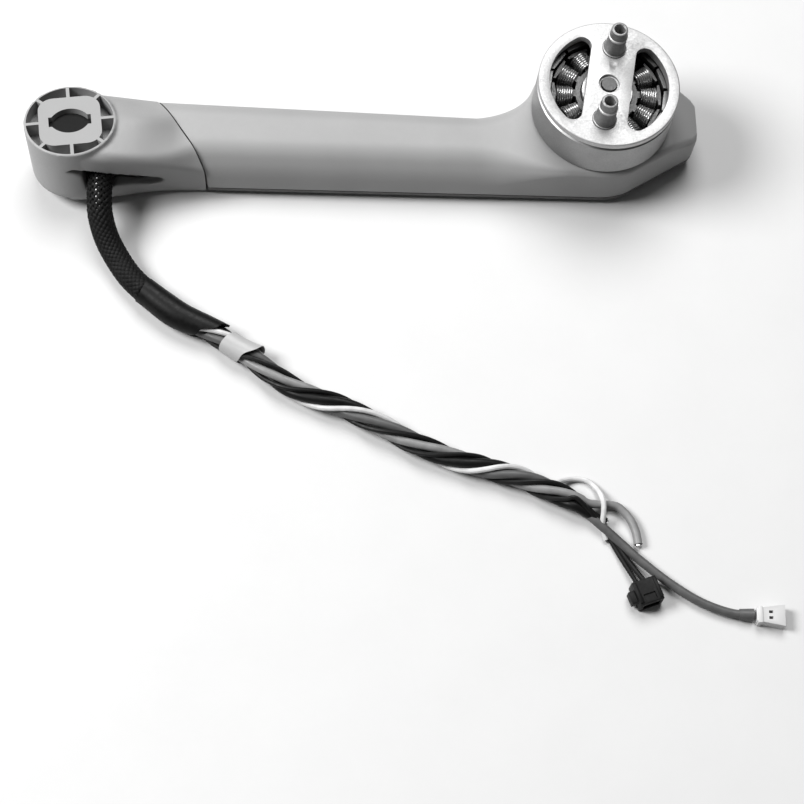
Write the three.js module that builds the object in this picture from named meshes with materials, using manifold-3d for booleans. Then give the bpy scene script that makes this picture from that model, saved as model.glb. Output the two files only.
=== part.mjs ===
// Folding motor arm of a small camera drone, as a spare part.
// A ribbed round hinge root carries a hollow arm with an outrunner motor at its far end,
// and a wire harness leaves a slot in the root. Millimetres, +Z up along the motor axis,
// +X from the hinge to the motor.
import * as THREE from 'three';
import { mergeVertices } from 'three/addons/utils/BufferGeometryUtils.js';
import Module from 'manifold-3d';

const wasm = await Module();
wasm.setup();

// ---------------------------------------------------------------- driving dimensions
// The hinge axis passes through the origin of the build frame, and the finished model is
// moved by ORIGIN_SHIFT so that its origin is the bottom centre of the rigid parts.
const ORIGIN_SHIFT = [-57.812, -5.795, 0];
const GAP = 0.3;              // between mouldings that meet
const FIT = 0.15;             // between small fitted metal pieces

const HINGE = {
  topZ: 15.5, leanBack: 10.2, leanSide: -3.0, pattern: 6.5,
  radius: 8.8, footRadius: 8.5, height: 14.25, footRound: 1.8,
  pocketRadius: 8.35, pocketDepth: 3.2, squareSide: 12.0, squareRound: 3.0, ribWidth: 0.65,
  boreRadius: 4.13, boreOffset: 1.09, keyReach: 4.1, keyHalf: 1.2, hubRadius: 5.0, boreFloor: 12.3, shaftHole: 2.6,
};
const SEAM = { back: [17.3, 7.4], front: [26.7, -6.8] };   // oblique joint, seen from above
const SPLIT_Z = 2.6;          // where the shell meets the lower cover
const COVER_TOP = SPLIT_Z - FIT;
const COVER_FLOOR = 1.5;
const WALL = 1.6;

const ARM = {
  front: -6.8, backStart: 9.1, backEnd: 7.3, filletX: 80, filletAngle: 158, climbFrom: 80, climbTo: 98,
  topLine: [[10, 11.1], [80, 10.7]], wallTop: 7.0,
  frontLean: 1.1, frontBevel: 4.6, backBevel: 2.5, backDrop: 1.7,
};
const MOTOR = { x: 104.63, y: 7.66, turn: 9.8 };
const POD = {
  radius: 14.5, top: 11.8, edge: 0.9, noseX: 124.4, noseFront: 2.9, noseBack: 12.4, noseRound: 0.9,
  slopeX: 118.9, slope: 0.43, seatRadius: 11.8, seatFloor: 9.2, roofUnder: 7.4,
};
const BELL = {
  top: 22.4, bottom: 12.1, radius: 14.0, plate: 1.5, groove: 0.3, wall: 1.1,
  windowRadius: 11.83, bridgeHalf: 4.45, windowCorner: 1.9,
};
const POST = {
  offset: 8.26, radius: 1.9, height: 6.75, holeRadius: 1.1, holeDepth: 5.0, flangeRadius: 2.3,
};
const MAGNET = {
  count: 14, inner: 11.35, between: 12.35, outer: 12.6, halfAngle: 0.195, gapEnd: 0.249,
  bottom: 13.0, top: 19.7,
};
const SHAFT_RADIUS = 1.5;
const BEARING = {
  outer: 4.0, outerBore: 3.5, innerOuter: 2.1, bore: 1.65, half: 1.5,
  pitch: 2.8, ball: 0.55, balls: 7,
};
const BEARING_Z = { lower: 10.6, upper: 17.9 };
const STATOR = {
  bottom: 13.6, top: 18.6, bore: 5.2, hub: 6.2,
  tipIn: 10.15, tipOut: 10.9, tipHalfAngle: 12.2, tipFlat: 4, neck: 1.5, teeth: 12,
};
const COIL = { inner: 6.75, outer: 9.95, bottom: 12.7, top: 19.5, innerHalf: 1.45, outerHalf: 2.15 };

// The harness lies on the ground beside the arm. Each list is a centre line.
const SLEEVE_DIAMETER = 5.0;
const SHRINK_DIAMETER = 5.6;
const BUNDLE_DIAMETER = 4.6;
const INNER_ROUTE = [
  [10.2, -3.2, 7.2], [15, -1.8, 6.8], [22, 0.4, 6.4], [30, 1.6, 6.2], [38, 2.6, 5.8], [48, 3.4, 5.2],
  [62, 3.0, 5.0], [76, 3.2, 5.0], [88, 3.6, 4.9], [95.2, 5.0, 4.8],
];
const SLEEVE_ROUTE = [
  [5.9, -7.4, 8.5], [5.6, -9.4, 8.5], [5.3, -12.6, 8.0], [5.5, -15.8, 6.6], [6.6, -19.3, 4.3],
  [8.6, -23.0, 2.9], [11.4, -27.2, 2.6], [14.4, -30.4, 2.7],
];
const SHRINK_ROUTE = [[14.9, -30.9, 2.9], [18.3, -33.2, 2.9], [22.4, -35.6, 2.9], [27.4, -38.1, 2.9]];
const TAPE_ROUTE = [[31.3, -40.6, 2.6], [35.6, -43.6, 2.6]];
const NECK_ROUTE = [[27.7, -38.3, 2.5], [29.4, -39.3, 2.5], [31.0, -40.4, 2.5]];
const BUNDLE_ROUTE = [
  [35.9, -43.8, 2.5], [39.6, -46.8, 2.5], [43.4, -49.6, 2.5], [48.8, -52.0, 2.5], [54.6, -54.2, 2.5],
  [62.0, -58.2, 2.5], [69.8, -62.2, 2.5], [77.8, -65.0, 2.5], [85.8, -67.3, 2.5], [94.0, -70.8, 2.5],
  [101.0, -74.6, 2.5],
];
const GREY_ROUTE = [
  [101.4, -74.8, 1.2], [103.2, -77.4, 1.2], [105.7, -80.2, 1.2], [109.0, -83.4, 1.2], [114.4, -87.9, 1.2],
  [119.9, -91.5, 1.2], [125.4, -93.6, 1.2], [129.8, -94.1, 1.3],
];
const THIN_ROUTE = [
  [100.2, -76.5, 1.3], [101.6, -79.2, 1.2], [103.4, -81.6, 1.2], [105.2, -84.0, 1.4], [107.0, -87.3, 1.7],
];
const LOOP_ROUTE = [
  [102.4, -73.3, 1.3], [104.3, -72.7, 1.2], [106.4, -73.4, 1.2], [108.1, -75.6, 1.2], [108.9, -78.0, 1.2],
  [108.8, -80.4, 1.2],
];

// ---------------------------------------------------------------- small geometry helpers
const solidOf = (geometry) => {
  const bare = geometry.clone();
  bare.deleteAttribute('normal');
  bare.deleteAttribute('uv');
  const merged = mergeVertices(bare, 1e-4);
  return new wasm.Manifold(new wasm.Mesh({
    numProp: 3,
    vertProperties: new Float32Array(merged.attributes.position.array),
    triVerts: new Uint32Array(merged.index.array),
  }));
};

const geometryOf = (solid) => {
  const data = solid.getMesh();
  const geometry = new THREE.BufferGeometry();
  geometry.setAttribute('position', new THREE.BufferAttribute(new Float32Array(data.vertProperties), 3));
  geometry.setIndex(new THREE.BufferAttribute(new Uint32Array(data.triVerts), 1));
  geometry.computeVertexNormals();
  return geometry;
};

const join = (...geometries) => geometryOf(geometries.map(solidOf).reduce((a, b) => a.add(b)));
const cut = (base, ...tools) => geometryOf(
  tools.map(solidOf).reduce((a, b) => a.subtract(b), solidOf(base)));
const keep = (base, region) => geometryOf(solidOf(base).intersect(solidOf(region)));

const rod = (radius, z0, z1, sides = 32, x = 0, y = 0) => new THREE
  .CylinderGeometry(radius, radius, z1 - z0, sides)
  .rotateX(Math.PI / 2)
  .translate(x, y, (z0 + z1) / 2);

const block = (x0, x1, y0, y1, z0, z1) => new THREE.BoxGeometry(x1 - x0, y1 - y0, z1 - z0)
  .translate((x0 + x1) / 2, (y0 + y1) / 2, (z0 + z1) / 2);

// A solid of revolution about Z from a closed profile of [radius, z], listed counter-clockwise.
const turned = (profile, sides = 48) => {
  const points = [...profile, profile[0]].map(([r, z]) => new THREE.Vector2(r, z));
  return new THREE.LatheGeometry(points, sides).rotateX(Math.PI / 2);
};

const ring = (outer, inner, z0, z1, sides = 48) => turned(
  [[inner, z0], [outer, z0], [outer, z1], [inner, z1]], sides);

const prism = (shape, z0, z1, segments = 12) => new THREE.ExtrudeGeometry(
  shape, { depth: z1 - z0, bevelEnabled: false, curveSegments: segments }).translate(0, 0, z0);

// A straight solid whose outline is drawn in X and Z, from y0 to y1.
const sideProfile = (points, y0, y1) => new THREE.ExtrudeGeometry(
  new THREE.Shape(points.map((p) => new THREE.Vector2(...p))), { depth: y1 - y0, bevelEnabled: false })
  .rotateX(Math.PI / 2)
  .translate(0, y1, 0);

// A tube of round section along a smooth curve through the route's points.
const tube = (route, diameter, steps, sides = 8) => {
  const section = new THREE.Shape();
  for (let i = 0; i < sides; i += 1) {
    const angle = (2 * Math.PI * i) / sides;
    const point = [Math.cos(angle) * diameter / 2, Math.sin(angle) * diameter / 2];
    if (i === 0) section.moveTo(...point);
    else section.lineTo(...point);
  }
  const path = new THREE.CatmullRomCurve3(route.map((p) => new THREE.Vector3(...p)));
  return new THREE.ExtrudeGeometry(section, { steps, bevelEnabled: false, extrudePath: path });
};

// A closed skin through a row of sections, each a ring of the same number of [x, y, z] points.
// Sections run along +X and each ring is listed counter-clockwise as seen from +X.
const loft = (sections) => {
  const count = sections[0].length;
  const positions = sections.flat(2);
  const index = [];
  for (let s = 0; s + 1 < sections.length; s += 1) {
    for (let i = 0; i < count; i += 1) {
      const a = s * count + i;
      const b = s * count + ((i + 1) % count);
      index.push(a, b, b + count, a, b + count, a + count);
    }
  }
  const cap = (row, flip) => {
    const centre = positions.length / 3;
    const middle = [0, 1, 2].map((axis) => row.reduce((sum, p) => sum + p[axis], 0) / count);
    positions.push(...middle);
    const first = sections.indexOf(row) * count;
    for (let i = 0; i < count; i += 1) {
      const a = first + i;
      const b = first + ((i + 1) % count);
      if (flip) index.push(centre, a, b);
      else index.push(centre, b, a);
    }
  };
  cap(sections[0], false);
  cap(sections[sections.length - 1], true);
  const geometry = new THREE.BufferGeometry();
  geometry.setAttribute('position', new THREE.Float32BufferAttribute(positions, 3));
  geometry.setIndex(index);
  return geometry;
};

// Straight-line value of a table of [x, ...values] rows at x.
const along = (rows, x) => {
  const last = rows[rows.length - 1];
  if (x <= rows[0][0]) return rows[0].slice(1);
  if (x >= last[0]) return last.slice(1);
  const next = rows.findIndex((row) => row[0] >= x);
  const [a, b] = [rows[next - 1], rows[next]];
  const share = (x - a[0]) / (b[0] - a[0]);
  return a.slice(1).map((value, i) => value + share * (b[i + 1] - value));
};

// Corners of a section rounded by short arcs, so that every section has the same point count.
const rounded = (corners, x, pieces = 2) => corners.flatMap(([y, z, radius], i) => {
  const before = corners[(i + corners.length - 1) % corners.length];
  const after = corners[(i + 1) % corners.length];
  const here = new THREE.Vector2(y, z);
  const toBefore = new THREE.Vector2(before[0], before[1]).sub(here);
  const toAfter = new THREE.Vector2(after[0], after[1]).sub(here);
  const reach = Math.min(radius, toBefore.length() * 0.45, toAfter.length() * 0.45);
  const start = here.clone().add(toBefore.setLength(reach));
  const end = here.clone().add(toAfter.setLength(reach));
  return Array.from({ length: pieces + 1 }, (_, k) => {
    const t = k / pieces;
    const p = start.clone().multiplyScalar((1 - t) ** 2)
      .add(here.clone().multiplyScalar(2 * t * (1 - t)))
      .add(end.clone().multiplyScalar(t ** 2));
    return [x, p.x, p.y];
  });
});

const steps = (from, to, count) => Array.from(
  { length: count + 1 }, (_, i) => from + ((to - from) * i) / count);

// ---------------------------------------------------------------- materials
const material = (color, roughness, metalness = 0) => new THREE.MeshStandardMaterial(
  { color, roughness, metalness });
const shellPlastic = material(0xb4b4b4, 0.55);
const coverPlastic = material(0x6a6a6a, 0.6);
const castAlloy = material(0x9a9a9a, 0.4, 0.9);
const brightAlloy = material(0xe2e2e2, 0.25, 0.95);
const darkSteel = material(0x6e6e6e, 0.35, 0.95);
const bearingSteel = material(0xb0b0b0, 0.2, 1.0);
const magnetBlack = material(0x2a2a2a, 0.4, 0.5);
const laminations = material(0x3a3a3a, 0.5, 0.4);
const enamelWire = material(0x141414, 0.2, 0.2);
const zincSteel = material(0xa8a8a8, 0.35, 0.9);
const blackNylon = material(0x111111, 0.6);
const greyInsulation = material(0x6f6f6f, 0.5);
const whiteNylon = material(0xe6e6e6, 0.45);
const clearTape = material(0xc8c8c8, 0.35);
const boardMask = material(0x4c4c4c, 0.5);

// ---------------------------------------------------------------- scene graph
const model = new THREE.Group();
model.position.set(...ORIGIN_SHIFT);
const hingeGroup = new THREE.Group();
hingeGroup.position.set(0, 0, HINGE.topZ);
const leanSide = THREE.MathUtils.degToRad(HINGE.leanSide);
const leanBack = THREE.MathUtils.degToRad(HINGE.leanBack);
const hingeAxis = new THREE.Vector3(Math.tan(leanSide), Math.tan(leanBack), 1).normalize();
hingeGroup.quaternion.setFromUnitVectors(new THREE.Vector3(0, 0, 1), hingeAxis);
hingeGroup.updateMatrix();
const motorGroup = new THREE.Group();
motorGroup.position.set(MOTOR.x, MOTOR.y, 0);
const bellGroup = new THREE.Group();
bellGroup.rotation.z = -THREE.MathUtils.degToRad(MOTOR.turn);
motorGroup.add(bellGroup);
model.add(hingeGroup, motorGroup);

const add = (parent, name, geometry, look) => {
  const mesh = new THREE.Mesh(geometry, look);
  mesh.name = name;
  parent.add(mesh);
};
// A geometry made in the hinge's own leaning frame, moved to the build frame.
const onHinge = (geometry) => geometry.applyMatrix4(hingeGroup.matrix);

// ---------------------------------------------------------------- arm outline
// The edges of the arm and pod seen from above, drawn inward by inset, as [x, y] points along +X.
const mix = (a, b, share) => a + (b - a) * share;
const smooth = (from, to, x) => THREE.MathUtils.smoothstep(x, from, to);
const edgeLines = (inset) => {
  const radius = POD.radius - inset;
  const noseX = POD.noseX - inset;
  const onPod = (degrees) => {
    const angle = THREE.MathUtils.degToRad(degrees);
    return [MOTOR.x + radius * Math.cos(angle), MOTOR.y + radius * Math.sin(angle)];
  };
  const fillet = new THREE.QuadraticBezierCurve(
    new THREE.Vector2(ARM.filletX, ARM.backEnd - inset),
    new THREE.Vector2(MOTOR.x - radius - 0.9, ARM.backEnd + 1.0 - inset),
    new THREE.Vector2(...onPod(ARM.filletAngle)));
  const front = [
    [0, ARM.front + inset], [MOTOR.x - 3, ARM.front + inset], ...steps(-88, -66, 3).map(onPod),
    [noseX - POD.noseRound, POD.noseFront - 0.5 + inset * 0.5], [noseX, POD.noseFront + 0.6 + inset * 0.5],
  ];
  const back = [
    [0, ARM.backStart - inset], ...fillet.getPoints(8).map((p) => [p.x, p.y]),
    ...steps(ARM.filletAngle, 66, 12).slice(1).map(onPod),
    [noseX - POD.noseRound, POD.noseBack + 0.5 - inset * 0.5], [noseX, POD.noseBack - 0.6 - inset * 0.5],
  ];
  return { front, back };
};

// The outline from above, from frontX on the front side round the pod to backX on the back side.
const planShape = (inset, frontX, backX = frontX) => {
  const { front, back } = edgeLines(inset);
  const points = [
    [frontX, along(front, frontX)[0]], ...front.filter(([x]) => x > frontX),
    ...back.filter(([x]) => x > backX).reverse(), [backX, along(back, backX)[0]],
  ];
  return new THREE.Shape(points.map((p) => new THREE.Vector2(...p)));
};

// The section of arm and pod at x: front foot, back foot, back wall, top, front bevel and front wall.
// The arm's wide front bevel closes to a small edge round as the top climbs to the pod.
const armSection = (x, inset, footZ) => {
  const { front, back } = edgeLines(inset);
  const [frontY, backY] = [along(front, x)[0], along(back, x)[0]];
  const climb = smooth(ARM.climbFrom, ARM.climbTo, x);
  const nose = Math.max(0, x - POD.slopeX) * POD.slope;
  const topZ = mix(along(ARM.topLine, x)[0], POD.top, climb) - nose - inset;
  const wallTop = mix(ARM.wallTop - inset * 0.4, topZ - POD.edge, climb);
  const lean = mix(ARM.frontLean, 0, climb);
  const footLean = lean * (footZ - SPLIT_Z) / (wallTop - SPLIT_Z);
  return rounded([
    [frontY + footLean, footZ, 0.2],
    [backY, footZ, 0.2],
    [backY, topZ - mix(ARM.backDrop, POD.edge, climb), mix(2.4, 0.5, climb)],
    [backY - mix(ARM.backBevel, POD.edge, climb), topZ, mix(2.0, 0.5, climb)],
    [frontY + mix(ARM.frontBevel, POD.edge, climb), topZ, mix(2.0, 0.5, climb)],
    [frontY + lean, wallTop, mix(2.0, 0.5, climb)],
  ], x, 3);
};
const armLoft = (xs, inset, footZ) => loft(xs.map((x) => armSection(x, inset, footZ)));

// The room on the motor side of the seam, moved toward the motor by offset, or the room on the root side.
const besideSeam = (side, offset) => {
  const [bx, by] = SEAM.back;
  const [fx, fy] = SEAM.front;
  const spread = 40;
  const slope = (fx - bx) / (fy - by);
  const shape = new THREE.Shape();
  shape.moveTo(bx + offset + slope * spread, by + spread);
  shape.lineTo(side * 200, by + spread);
  shape.lineTo(side * 200, fy - spread);
  shape.lineTo(fx + offset - slope * spread, fy - spread);
  return prism(shape, -3, 40);
};
const motorSide = 1;
const rootSide = -1;

// ---------------------------------------------------------------- hinge root
// Rails along the root's top: the front edge, the middle line with its scoop, and the back edge.
const ROOT_FRONT = [
  [0, -8.6, 16.6], [4, -8.7, 15.7], [8, -8.6, 14.6], [12, -8.3, 13.5], [16, -7.8, 12.2],
  [20, -7.0, 10.4], [24, -6.2, 8.3], [27, -5.9, 7.0], [30, -5.9, 7.0],
];
const ROOT_SHOULDER = [
  [0, -6.0, 16.5], [4, -6.6, 16.4], [8, -7.2, 15.9], [12, -6.9, 15.0], [15, -6.4, 14.0], [18, -5.6, 13.0],
  [21, -4.4, 12.1], [23.5, -3.0, 11.4], [25, -2.5, 11.0], [30, -2.5, 11.0],
];
const ROOT_MIDDLE = [
  [0, 1.0, 15.3], [8, 1.0, 15.6], [12, 1.2, 15.4], [14, 1.4, 15.0], [16, 1.8, 14.2], [18, 2.2, 13.1],
  [20, 2.6, 11.8], [21.3, 2.6, 11.0], [30, 2.6, 11.0],
];
const ROOT_BACK = [
  [0, 7.2, 14.2], [3, 7.0, 14.3], [6, 6.8, 13.9], [9, 6.6, 13.2], [12, 6.4, 12.3], [15, 6.3, 11.5],
  [17.8, 6.2, 11.0], [30, 6.0, 11.0],
];
const ROOT_BACK_EDGE = [
  [0, 8.3, 11.9], [6, 8.5, 11.4], [12, 8.7, 10.4], [18, 8.7, 9.5], [30, 8.5, 9.3],
];
const ROOT_FOOT = [
  // x, frontY, frontZ, backY, backZ
  [0, -10.8, 2.1, 5.8, 0.1], [4, -10.5, 1.9, 6.2, 0.1], [8, -9.5, 1.3, 7.0, 0.0], [12, -8.3, 0.7, 7.7, 0.0],
  [17, -7.1, 0.2, 8.4, 0.0], [22, -6.8, 0.0, 8.5, 0.0], [30, -6.8, 0.0, 8.4, 0.0],
];

const rootSection = (x) => {
  const [footY, footZ, heelY, heelZ] = along(ROOT_FOOT, x);
  const rails = [ROOT_FRONT, ROOT_SHOULDER, ROOT_MIDDLE, ROOT_BACK, ROOT_BACK_EDGE];
  const [front, shoulder, middle, back, edge] = rails.map((rail) => along(rail, x));
  return rounded([
    [footY, footZ, 2.0], [heelY, heelZ, 2.0], [...edge, 1.2], [...back, 1.0], [...middle, 1.6],
    [...shoulder, 1.6], [...front, 0.7],
  ], x, 2);
};

const barrel = () => {
  const foot = -HINGE.height;
  const profile = [
    [0, foot], [HINGE.footRadius - HINGE.footRound, foot],
    [HINGE.footRadius - HINGE.footRound * 0.45, foot + HINGE.footRound * 0.2],
    [HINGE.footRadius, foot + HINGE.footRound],
    [HINGE.radius, -0.25], [HINGE.radius - 0.25, 0], [0, 0],
  ];
  const points = profile.map(([r, z]) => new THREE.Vector2(r, z));
  return new THREE.LatheGeometry(points, 48).rotateX(Math.PI / 2);
};

// The keyed hole: two shallow arcs that face each other, with a square key at either side.
const keyedShape = (inset) => {
  const radius = HINGE.boreRadius - inset;
  const reach = HINGE.keyReach - inset;
  const half = HINGE.keyHalf - inset;
  const start = Math.asin((half + HINGE.boreOffset) / radius);
  const arc = steps(start, Math.PI - start, 14).map((angle) => [
    radius * Math.cos(angle), radius * Math.sin(angle) - HINGE.boreOffset]);
  const top = [[reach, half], ...arc, [-reach, half]];
  const points = [...top, ...top.map(([x, y]) => [-x, -y])];
  return new THREE.Shape(points.map((p) => new THREE.Vector2(...p)));
};

const roundedSquare = (side, radius) => {
  const half = side / 2;
  const shape = new THREE.Shape();
  shape.moveTo(half, -half + radius);
  shape.lineTo(half, half - radius);
  shape.absarc(half - radius, half - radius, radius, 0, Math.PI / 2);
  shape.lineTo(-half + radius, half);
  shape.absarc(-half + radius, half - radius, radius, Math.PI / 2, Math.PI);
  shape.lineTo(-half, -half + radius);
  shape.absarc(-half + radius, -half + radius, radius, Math.PI, 1.5 * Math.PI);
  shape.lineTo(half - radius, -half);
  shape.absarc(half - radius, -half + radius, radius, 1.5 * Math.PI, 2 * Math.PI);
  return shape;
};

const ribbedPockets = () => {
  const disc = rod(HINGE.pocketRadius, -HINGE.pocketDepth, 1, 48);
  const island = prism(roundedSquare(HINGE.squareSide, HINGE.squareRound), -HINGE.pocketDepth - 1, 2, 4);
  const ribs = [0, 45, 90, 135].map((degrees) => block(
    -10, 10, -HINGE.ribWidth / 2, HINGE.ribWidth / 2, -HINGE.pocketDepth - 1, 2)
    .rotateZ(THREE.MathUtils.degToRad(degrees)));
  return cut(disc, island, ...ribs).rotateZ(THREE.MathUtils.degToRad(HINGE.pattern));
};

// The cable slot through the front wall, drawn in X and Z.
const slotTool = () => sideProfile([
  [-1.4, 12.1], [1.0, 11.4], [2.6, 10.4], [3.2, 6.0], [8.2, 5.8], [8.8, 6.5], [15.5, 4.9], [17.3, 5.1],
  [18.0, 5.9], [17.4, 7.0], [13.0, 8.8], [9.0, 10.2], [5.6, 11.3], [1.0, 12.5],
], -14, -6);

const ROOT_SCREWS = [[25.0, 3.6], [30.6, -2.4]];
const COVER_SCREWS = [[46, 0], [76, -0.4], [92, -3.0], [104.6, 18.6]];
const MOTOR_SCREWS = [40, 160, 280].map((degrees) => {
  const angle = THREE.MathUtils.degToRad(degrees);
  return [8.0 * Math.cos(angle), 8.0 * Math.sin(angle)];
});
const LEAD_HOLE = { x: -8.2, y: -2.0, radius: 1.7 };
const onPattern = (geometry) => geometry.rotateZ(THREE.MathUtils.degToRad(HINGE.pattern));

const makeHingeRoot = () => {
  const bridge = loft([0, 4, 8, 11, 14, 16, 18, 20, 22, 24.5, 27, 30].map(rootSection));
  const hub = onHinge(rod(HINGE.hubRadius, -HINGE.height + 0.6, -HINGE.pocketDepth, 40));
  const passage = loft(steps(3.2, 36, 8).map((x) => {
    const roof = Math.min(10.6, along(ROOT_BACK, x)[1] - 2.9, along(ROOT_FRONT, x)[1] + 0.9);
    const front = along(ROOT_FRONT, x)[0] + 2.0;
    return rounded([[front, 4.6, 0.8], [4.4, 4.6, 0.8], [4.4, roof, 1.0], [front + 2.2, roof, 1.0],
      [front, 6.4, 0.6]], x);
  }));
  const bore = onHinge(onPattern(prism(keyedShape(0), -HINGE.boreFloor, 1, 8)));
  const shaftHole = onHinge(rod(HINGE.shaftHole, -HINGE.height - 2, 0, 20));
  const moulding = keep(join(onHinge(barrel()), bridge), besideSeam(rootSide, 0));
  const spigot = armLoft(steps(14, 33.5, 2), WALL + GAP, 2.8);
  const hollow = cut(join(moulding, spigot), onHinge(ribbedPockets()), passage, slotTool());
  const screwHoles = ROOT_SCREWS.map(([x, y]) => rod(1.0, 1, 7.0, 10, x, y));
  return cut(join(hollow, hub), bore, shaftHole, ...screwHoles);
};

// ---------------------------------------------------------------- arm shell and lower cover
const roundedPrism = (shape, z0, z1, round) => new THREE.ExtrudeGeometry(shape, {
  depth: z1 - z0 - 2 * round, curveSegments: 8, bevelEnabled: true, bevelSegments: 2,
  bevelThickness: round, bevelSize: round, bevelOffset: -round,
}).translate(0, 0, z0 + round);
const slab = (z0, z1) => block(-50, 200, -50, 60, z0, z1);

const SHELL_STATIONS = [
  10, 26, 53, 80, 82.5, 84.5, 86, 87.4, 88.5, 89.4, 90.1, 90.7, 91.2, 92, 93.2, 95,
  97, 99, 101.6, 105, 108, 110.5, 114.5, 118.9, 123.5, 124.1, 124.4,
];
const makeArmShell = () => {
  const outer = keep(armLoft(SHELL_STATIONS, 0, SPLIT_Z), besideSeam(motorSide, GAP));
  const armHollow = armLoft(steps(5, 80, 2).concat([85, 89, 91]), WALL, 1);
  const podHollow = prism(planShape(WALL, 78), 1, POD.roofUnder, 6);
  const seat = rod(POD.seatRadius, POD.seatFloor, 14, 48, MOTOR.x, MOTOR.y);
  const seatRoof = rod(POD.seatRadius + 0.9, POD.roofUnder, POD.seatFloor - 0.05, 40, MOTOR.x, MOTOR.y);
  const hubHole = rod(5.7, 0, 14, 28, MOTOR.x, MOTOR.y);
  const leadHole = rod(LEAD_HOLE.radius, 0, 14, 20, MOTOR.x + LEAD_HOLE.x, MOTOR.y + LEAD_HOLE.y);
  const screwHoles = MOTOR_SCREWS.map(([x, y]) => rod(1.25, 5, 10, 10, MOTOR.x + x, MOTOR.y + y));
  const hollow = join(cut(outer, armHollow, podHollow), seatRoof);
  const bosses = COVER_SCREWS.map(([x, y]) => rod(1.9, SPLIT_Z, POD.roofUnder + 0.6, 12, x, y));
  const tallBosses = COVER_SCREWS.slice(0, 3).map(([x, y]) => rod(1.9, SPLIT_Z, 9.6, 12, x, y));
  const pilots = COVER_SCREWS.map(([x, y]) => rod(1.0, 0, 6.4, 10, x, y));
  return cut(join(hollow, ...bosses, ...tallBosses), seat, hubHole, leadHole, ...screwHoles, ...pilots);
};

const LENS = { x0: 117.6, x1: 121.4, y0: 4.7, y1: 10.6 };
const makeLowerCover = () => {
  const outline = keep(roundedPrism(planShape(0, 8), 0, 14, 2.2), slab(-1, COVER_TOP));
  const tray = keep(outline, besideSeam(motorSide, GAP));
  const hollow = prism(planShape(WALL, 4), COVER_FLOOR, 9, 6);
  const screws = [...COVER_SCREWS, ...ROOT_SCREWS];
  const pads = screws.map(([x, y]) => rod(2.3, 0.8, COVER_TOP, 12, x, y));
  const shanks = screws.map(([x, y]) => rod(1.05, -1, 5, 10, x, y));
  const heads = screws.map(([x, y]) => rod(1.85, -1, 1.15, 12, x, y));
  const lensHole = block(LENS.x0 - FIT, LENS.x1 + FIT, LENS.y0 - FIT, LENS.y1 + FIT, -1, 3);
  return cut(join(cut(tray, hollow), ...pads), ...shanks, ...heads, lensHole);
};

// ---------------------------------------------------------------- screws
// A pan-head screw, head down, whose head face is at z.
const screw = (z, headRadius, headHeight, shankRadius, length) => {
  const profile = [
    [0, z + 0.5], [0.55, z + 0.5], [0.75, z], [headRadius - 0.2, z], [headRadius, z + 0.25],
    [headRadius, z + headHeight], [shankRadius, z + headHeight], [shankRadius, z + length - 0.5],
    [shankRadius - 0.4, z + length], [0, z + length],
  ];
  return new THREE.LatheGeometry(profile.map(([r, h]) => new THREE.Vector2(r, h)), 8).rotateX(Math.PI / 2);
};

// ---------------------------------------------------------------- motor, fixed side
const makeMotorBase = () => {
  const body = turned([
    [4.2, 8.8], [5.2, 8.8], [5.2, 9.4], [11.5, 9.4], [11.5, 11.6], [11.3, POD.top],
    [5.0, POD.top], [5.0, 19.55], [4.2, 19.55], [4.2, 16.2], [3.4, 16.2], [3.4, 12.3], [4.2, 12.3],
  ], 32);
  const taps = MOTOR_SCREWS.map(([x, y]) => rod(1.15, 8, 11.3, 10, x, y));
  const leads = rod(LEAD_HOLE.radius, 8, 14, 20, LEAD_HOLE.x, LEAD_HOLE.y);
  return cut(body, leads, ...taps);
};

const makeStator = () => {
  const outline = [];
  const polar = (radius, degrees) => {
    const angle = THREE.MathUtils.degToRad(degrees);
    return [radius * Math.cos(angle), radius * Math.sin(angle)];
  };
  const pitch = 360 / STATOR.teeth;
  const { tipHalfAngle, tipFlat } = STATOR;
  const tipBack = STATOR.tipIn + 0.35;
  const neckAt = (radius) => THREE.MathUtils.radToDeg(Math.asin(STATOR.neck / 2 / radius));
  for (let i = 0; i < STATOR.teeth; i += 1) {
    const middle = i * pitch;
    outline.push(
      polar(STATOR.hub, middle - neckAt(STATOR.hub)),
      polar(STATOR.tipIn, middle - neckAt(STATOR.tipIn)),
      polar(tipBack, middle - tipHalfAngle),
      polar(STATOR.tipOut, middle - tipHalfAngle),
      polar(STATOR.tipOut, middle - tipFlat),
      polar(STATOR.tipOut, middle + tipFlat),
      polar(STATOR.tipOut, middle + tipHalfAngle),
      polar(tipBack, middle + tipHalfAngle),
      polar(STATOR.tipIn, middle + neckAt(STATOR.tipIn)),
      polar(STATOR.hub, middle + neckAt(STATOR.hub)),
      polar(STATOR.hub, middle + pitch / 2),
    );
  }
  const shape = new THREE.Shape(outline.map((p) => new THREE.Vector2(...p)));
  const bore = new THREE.Path().absarc(0, 0, STATOR.bore, 0, 2 * Math.PI, true);
  shape.holes.push(new THREE.Path(bore.getPoints(20)));
  return prism(shape, STATOR.bottom, STATOR.top, 10);
};

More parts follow.
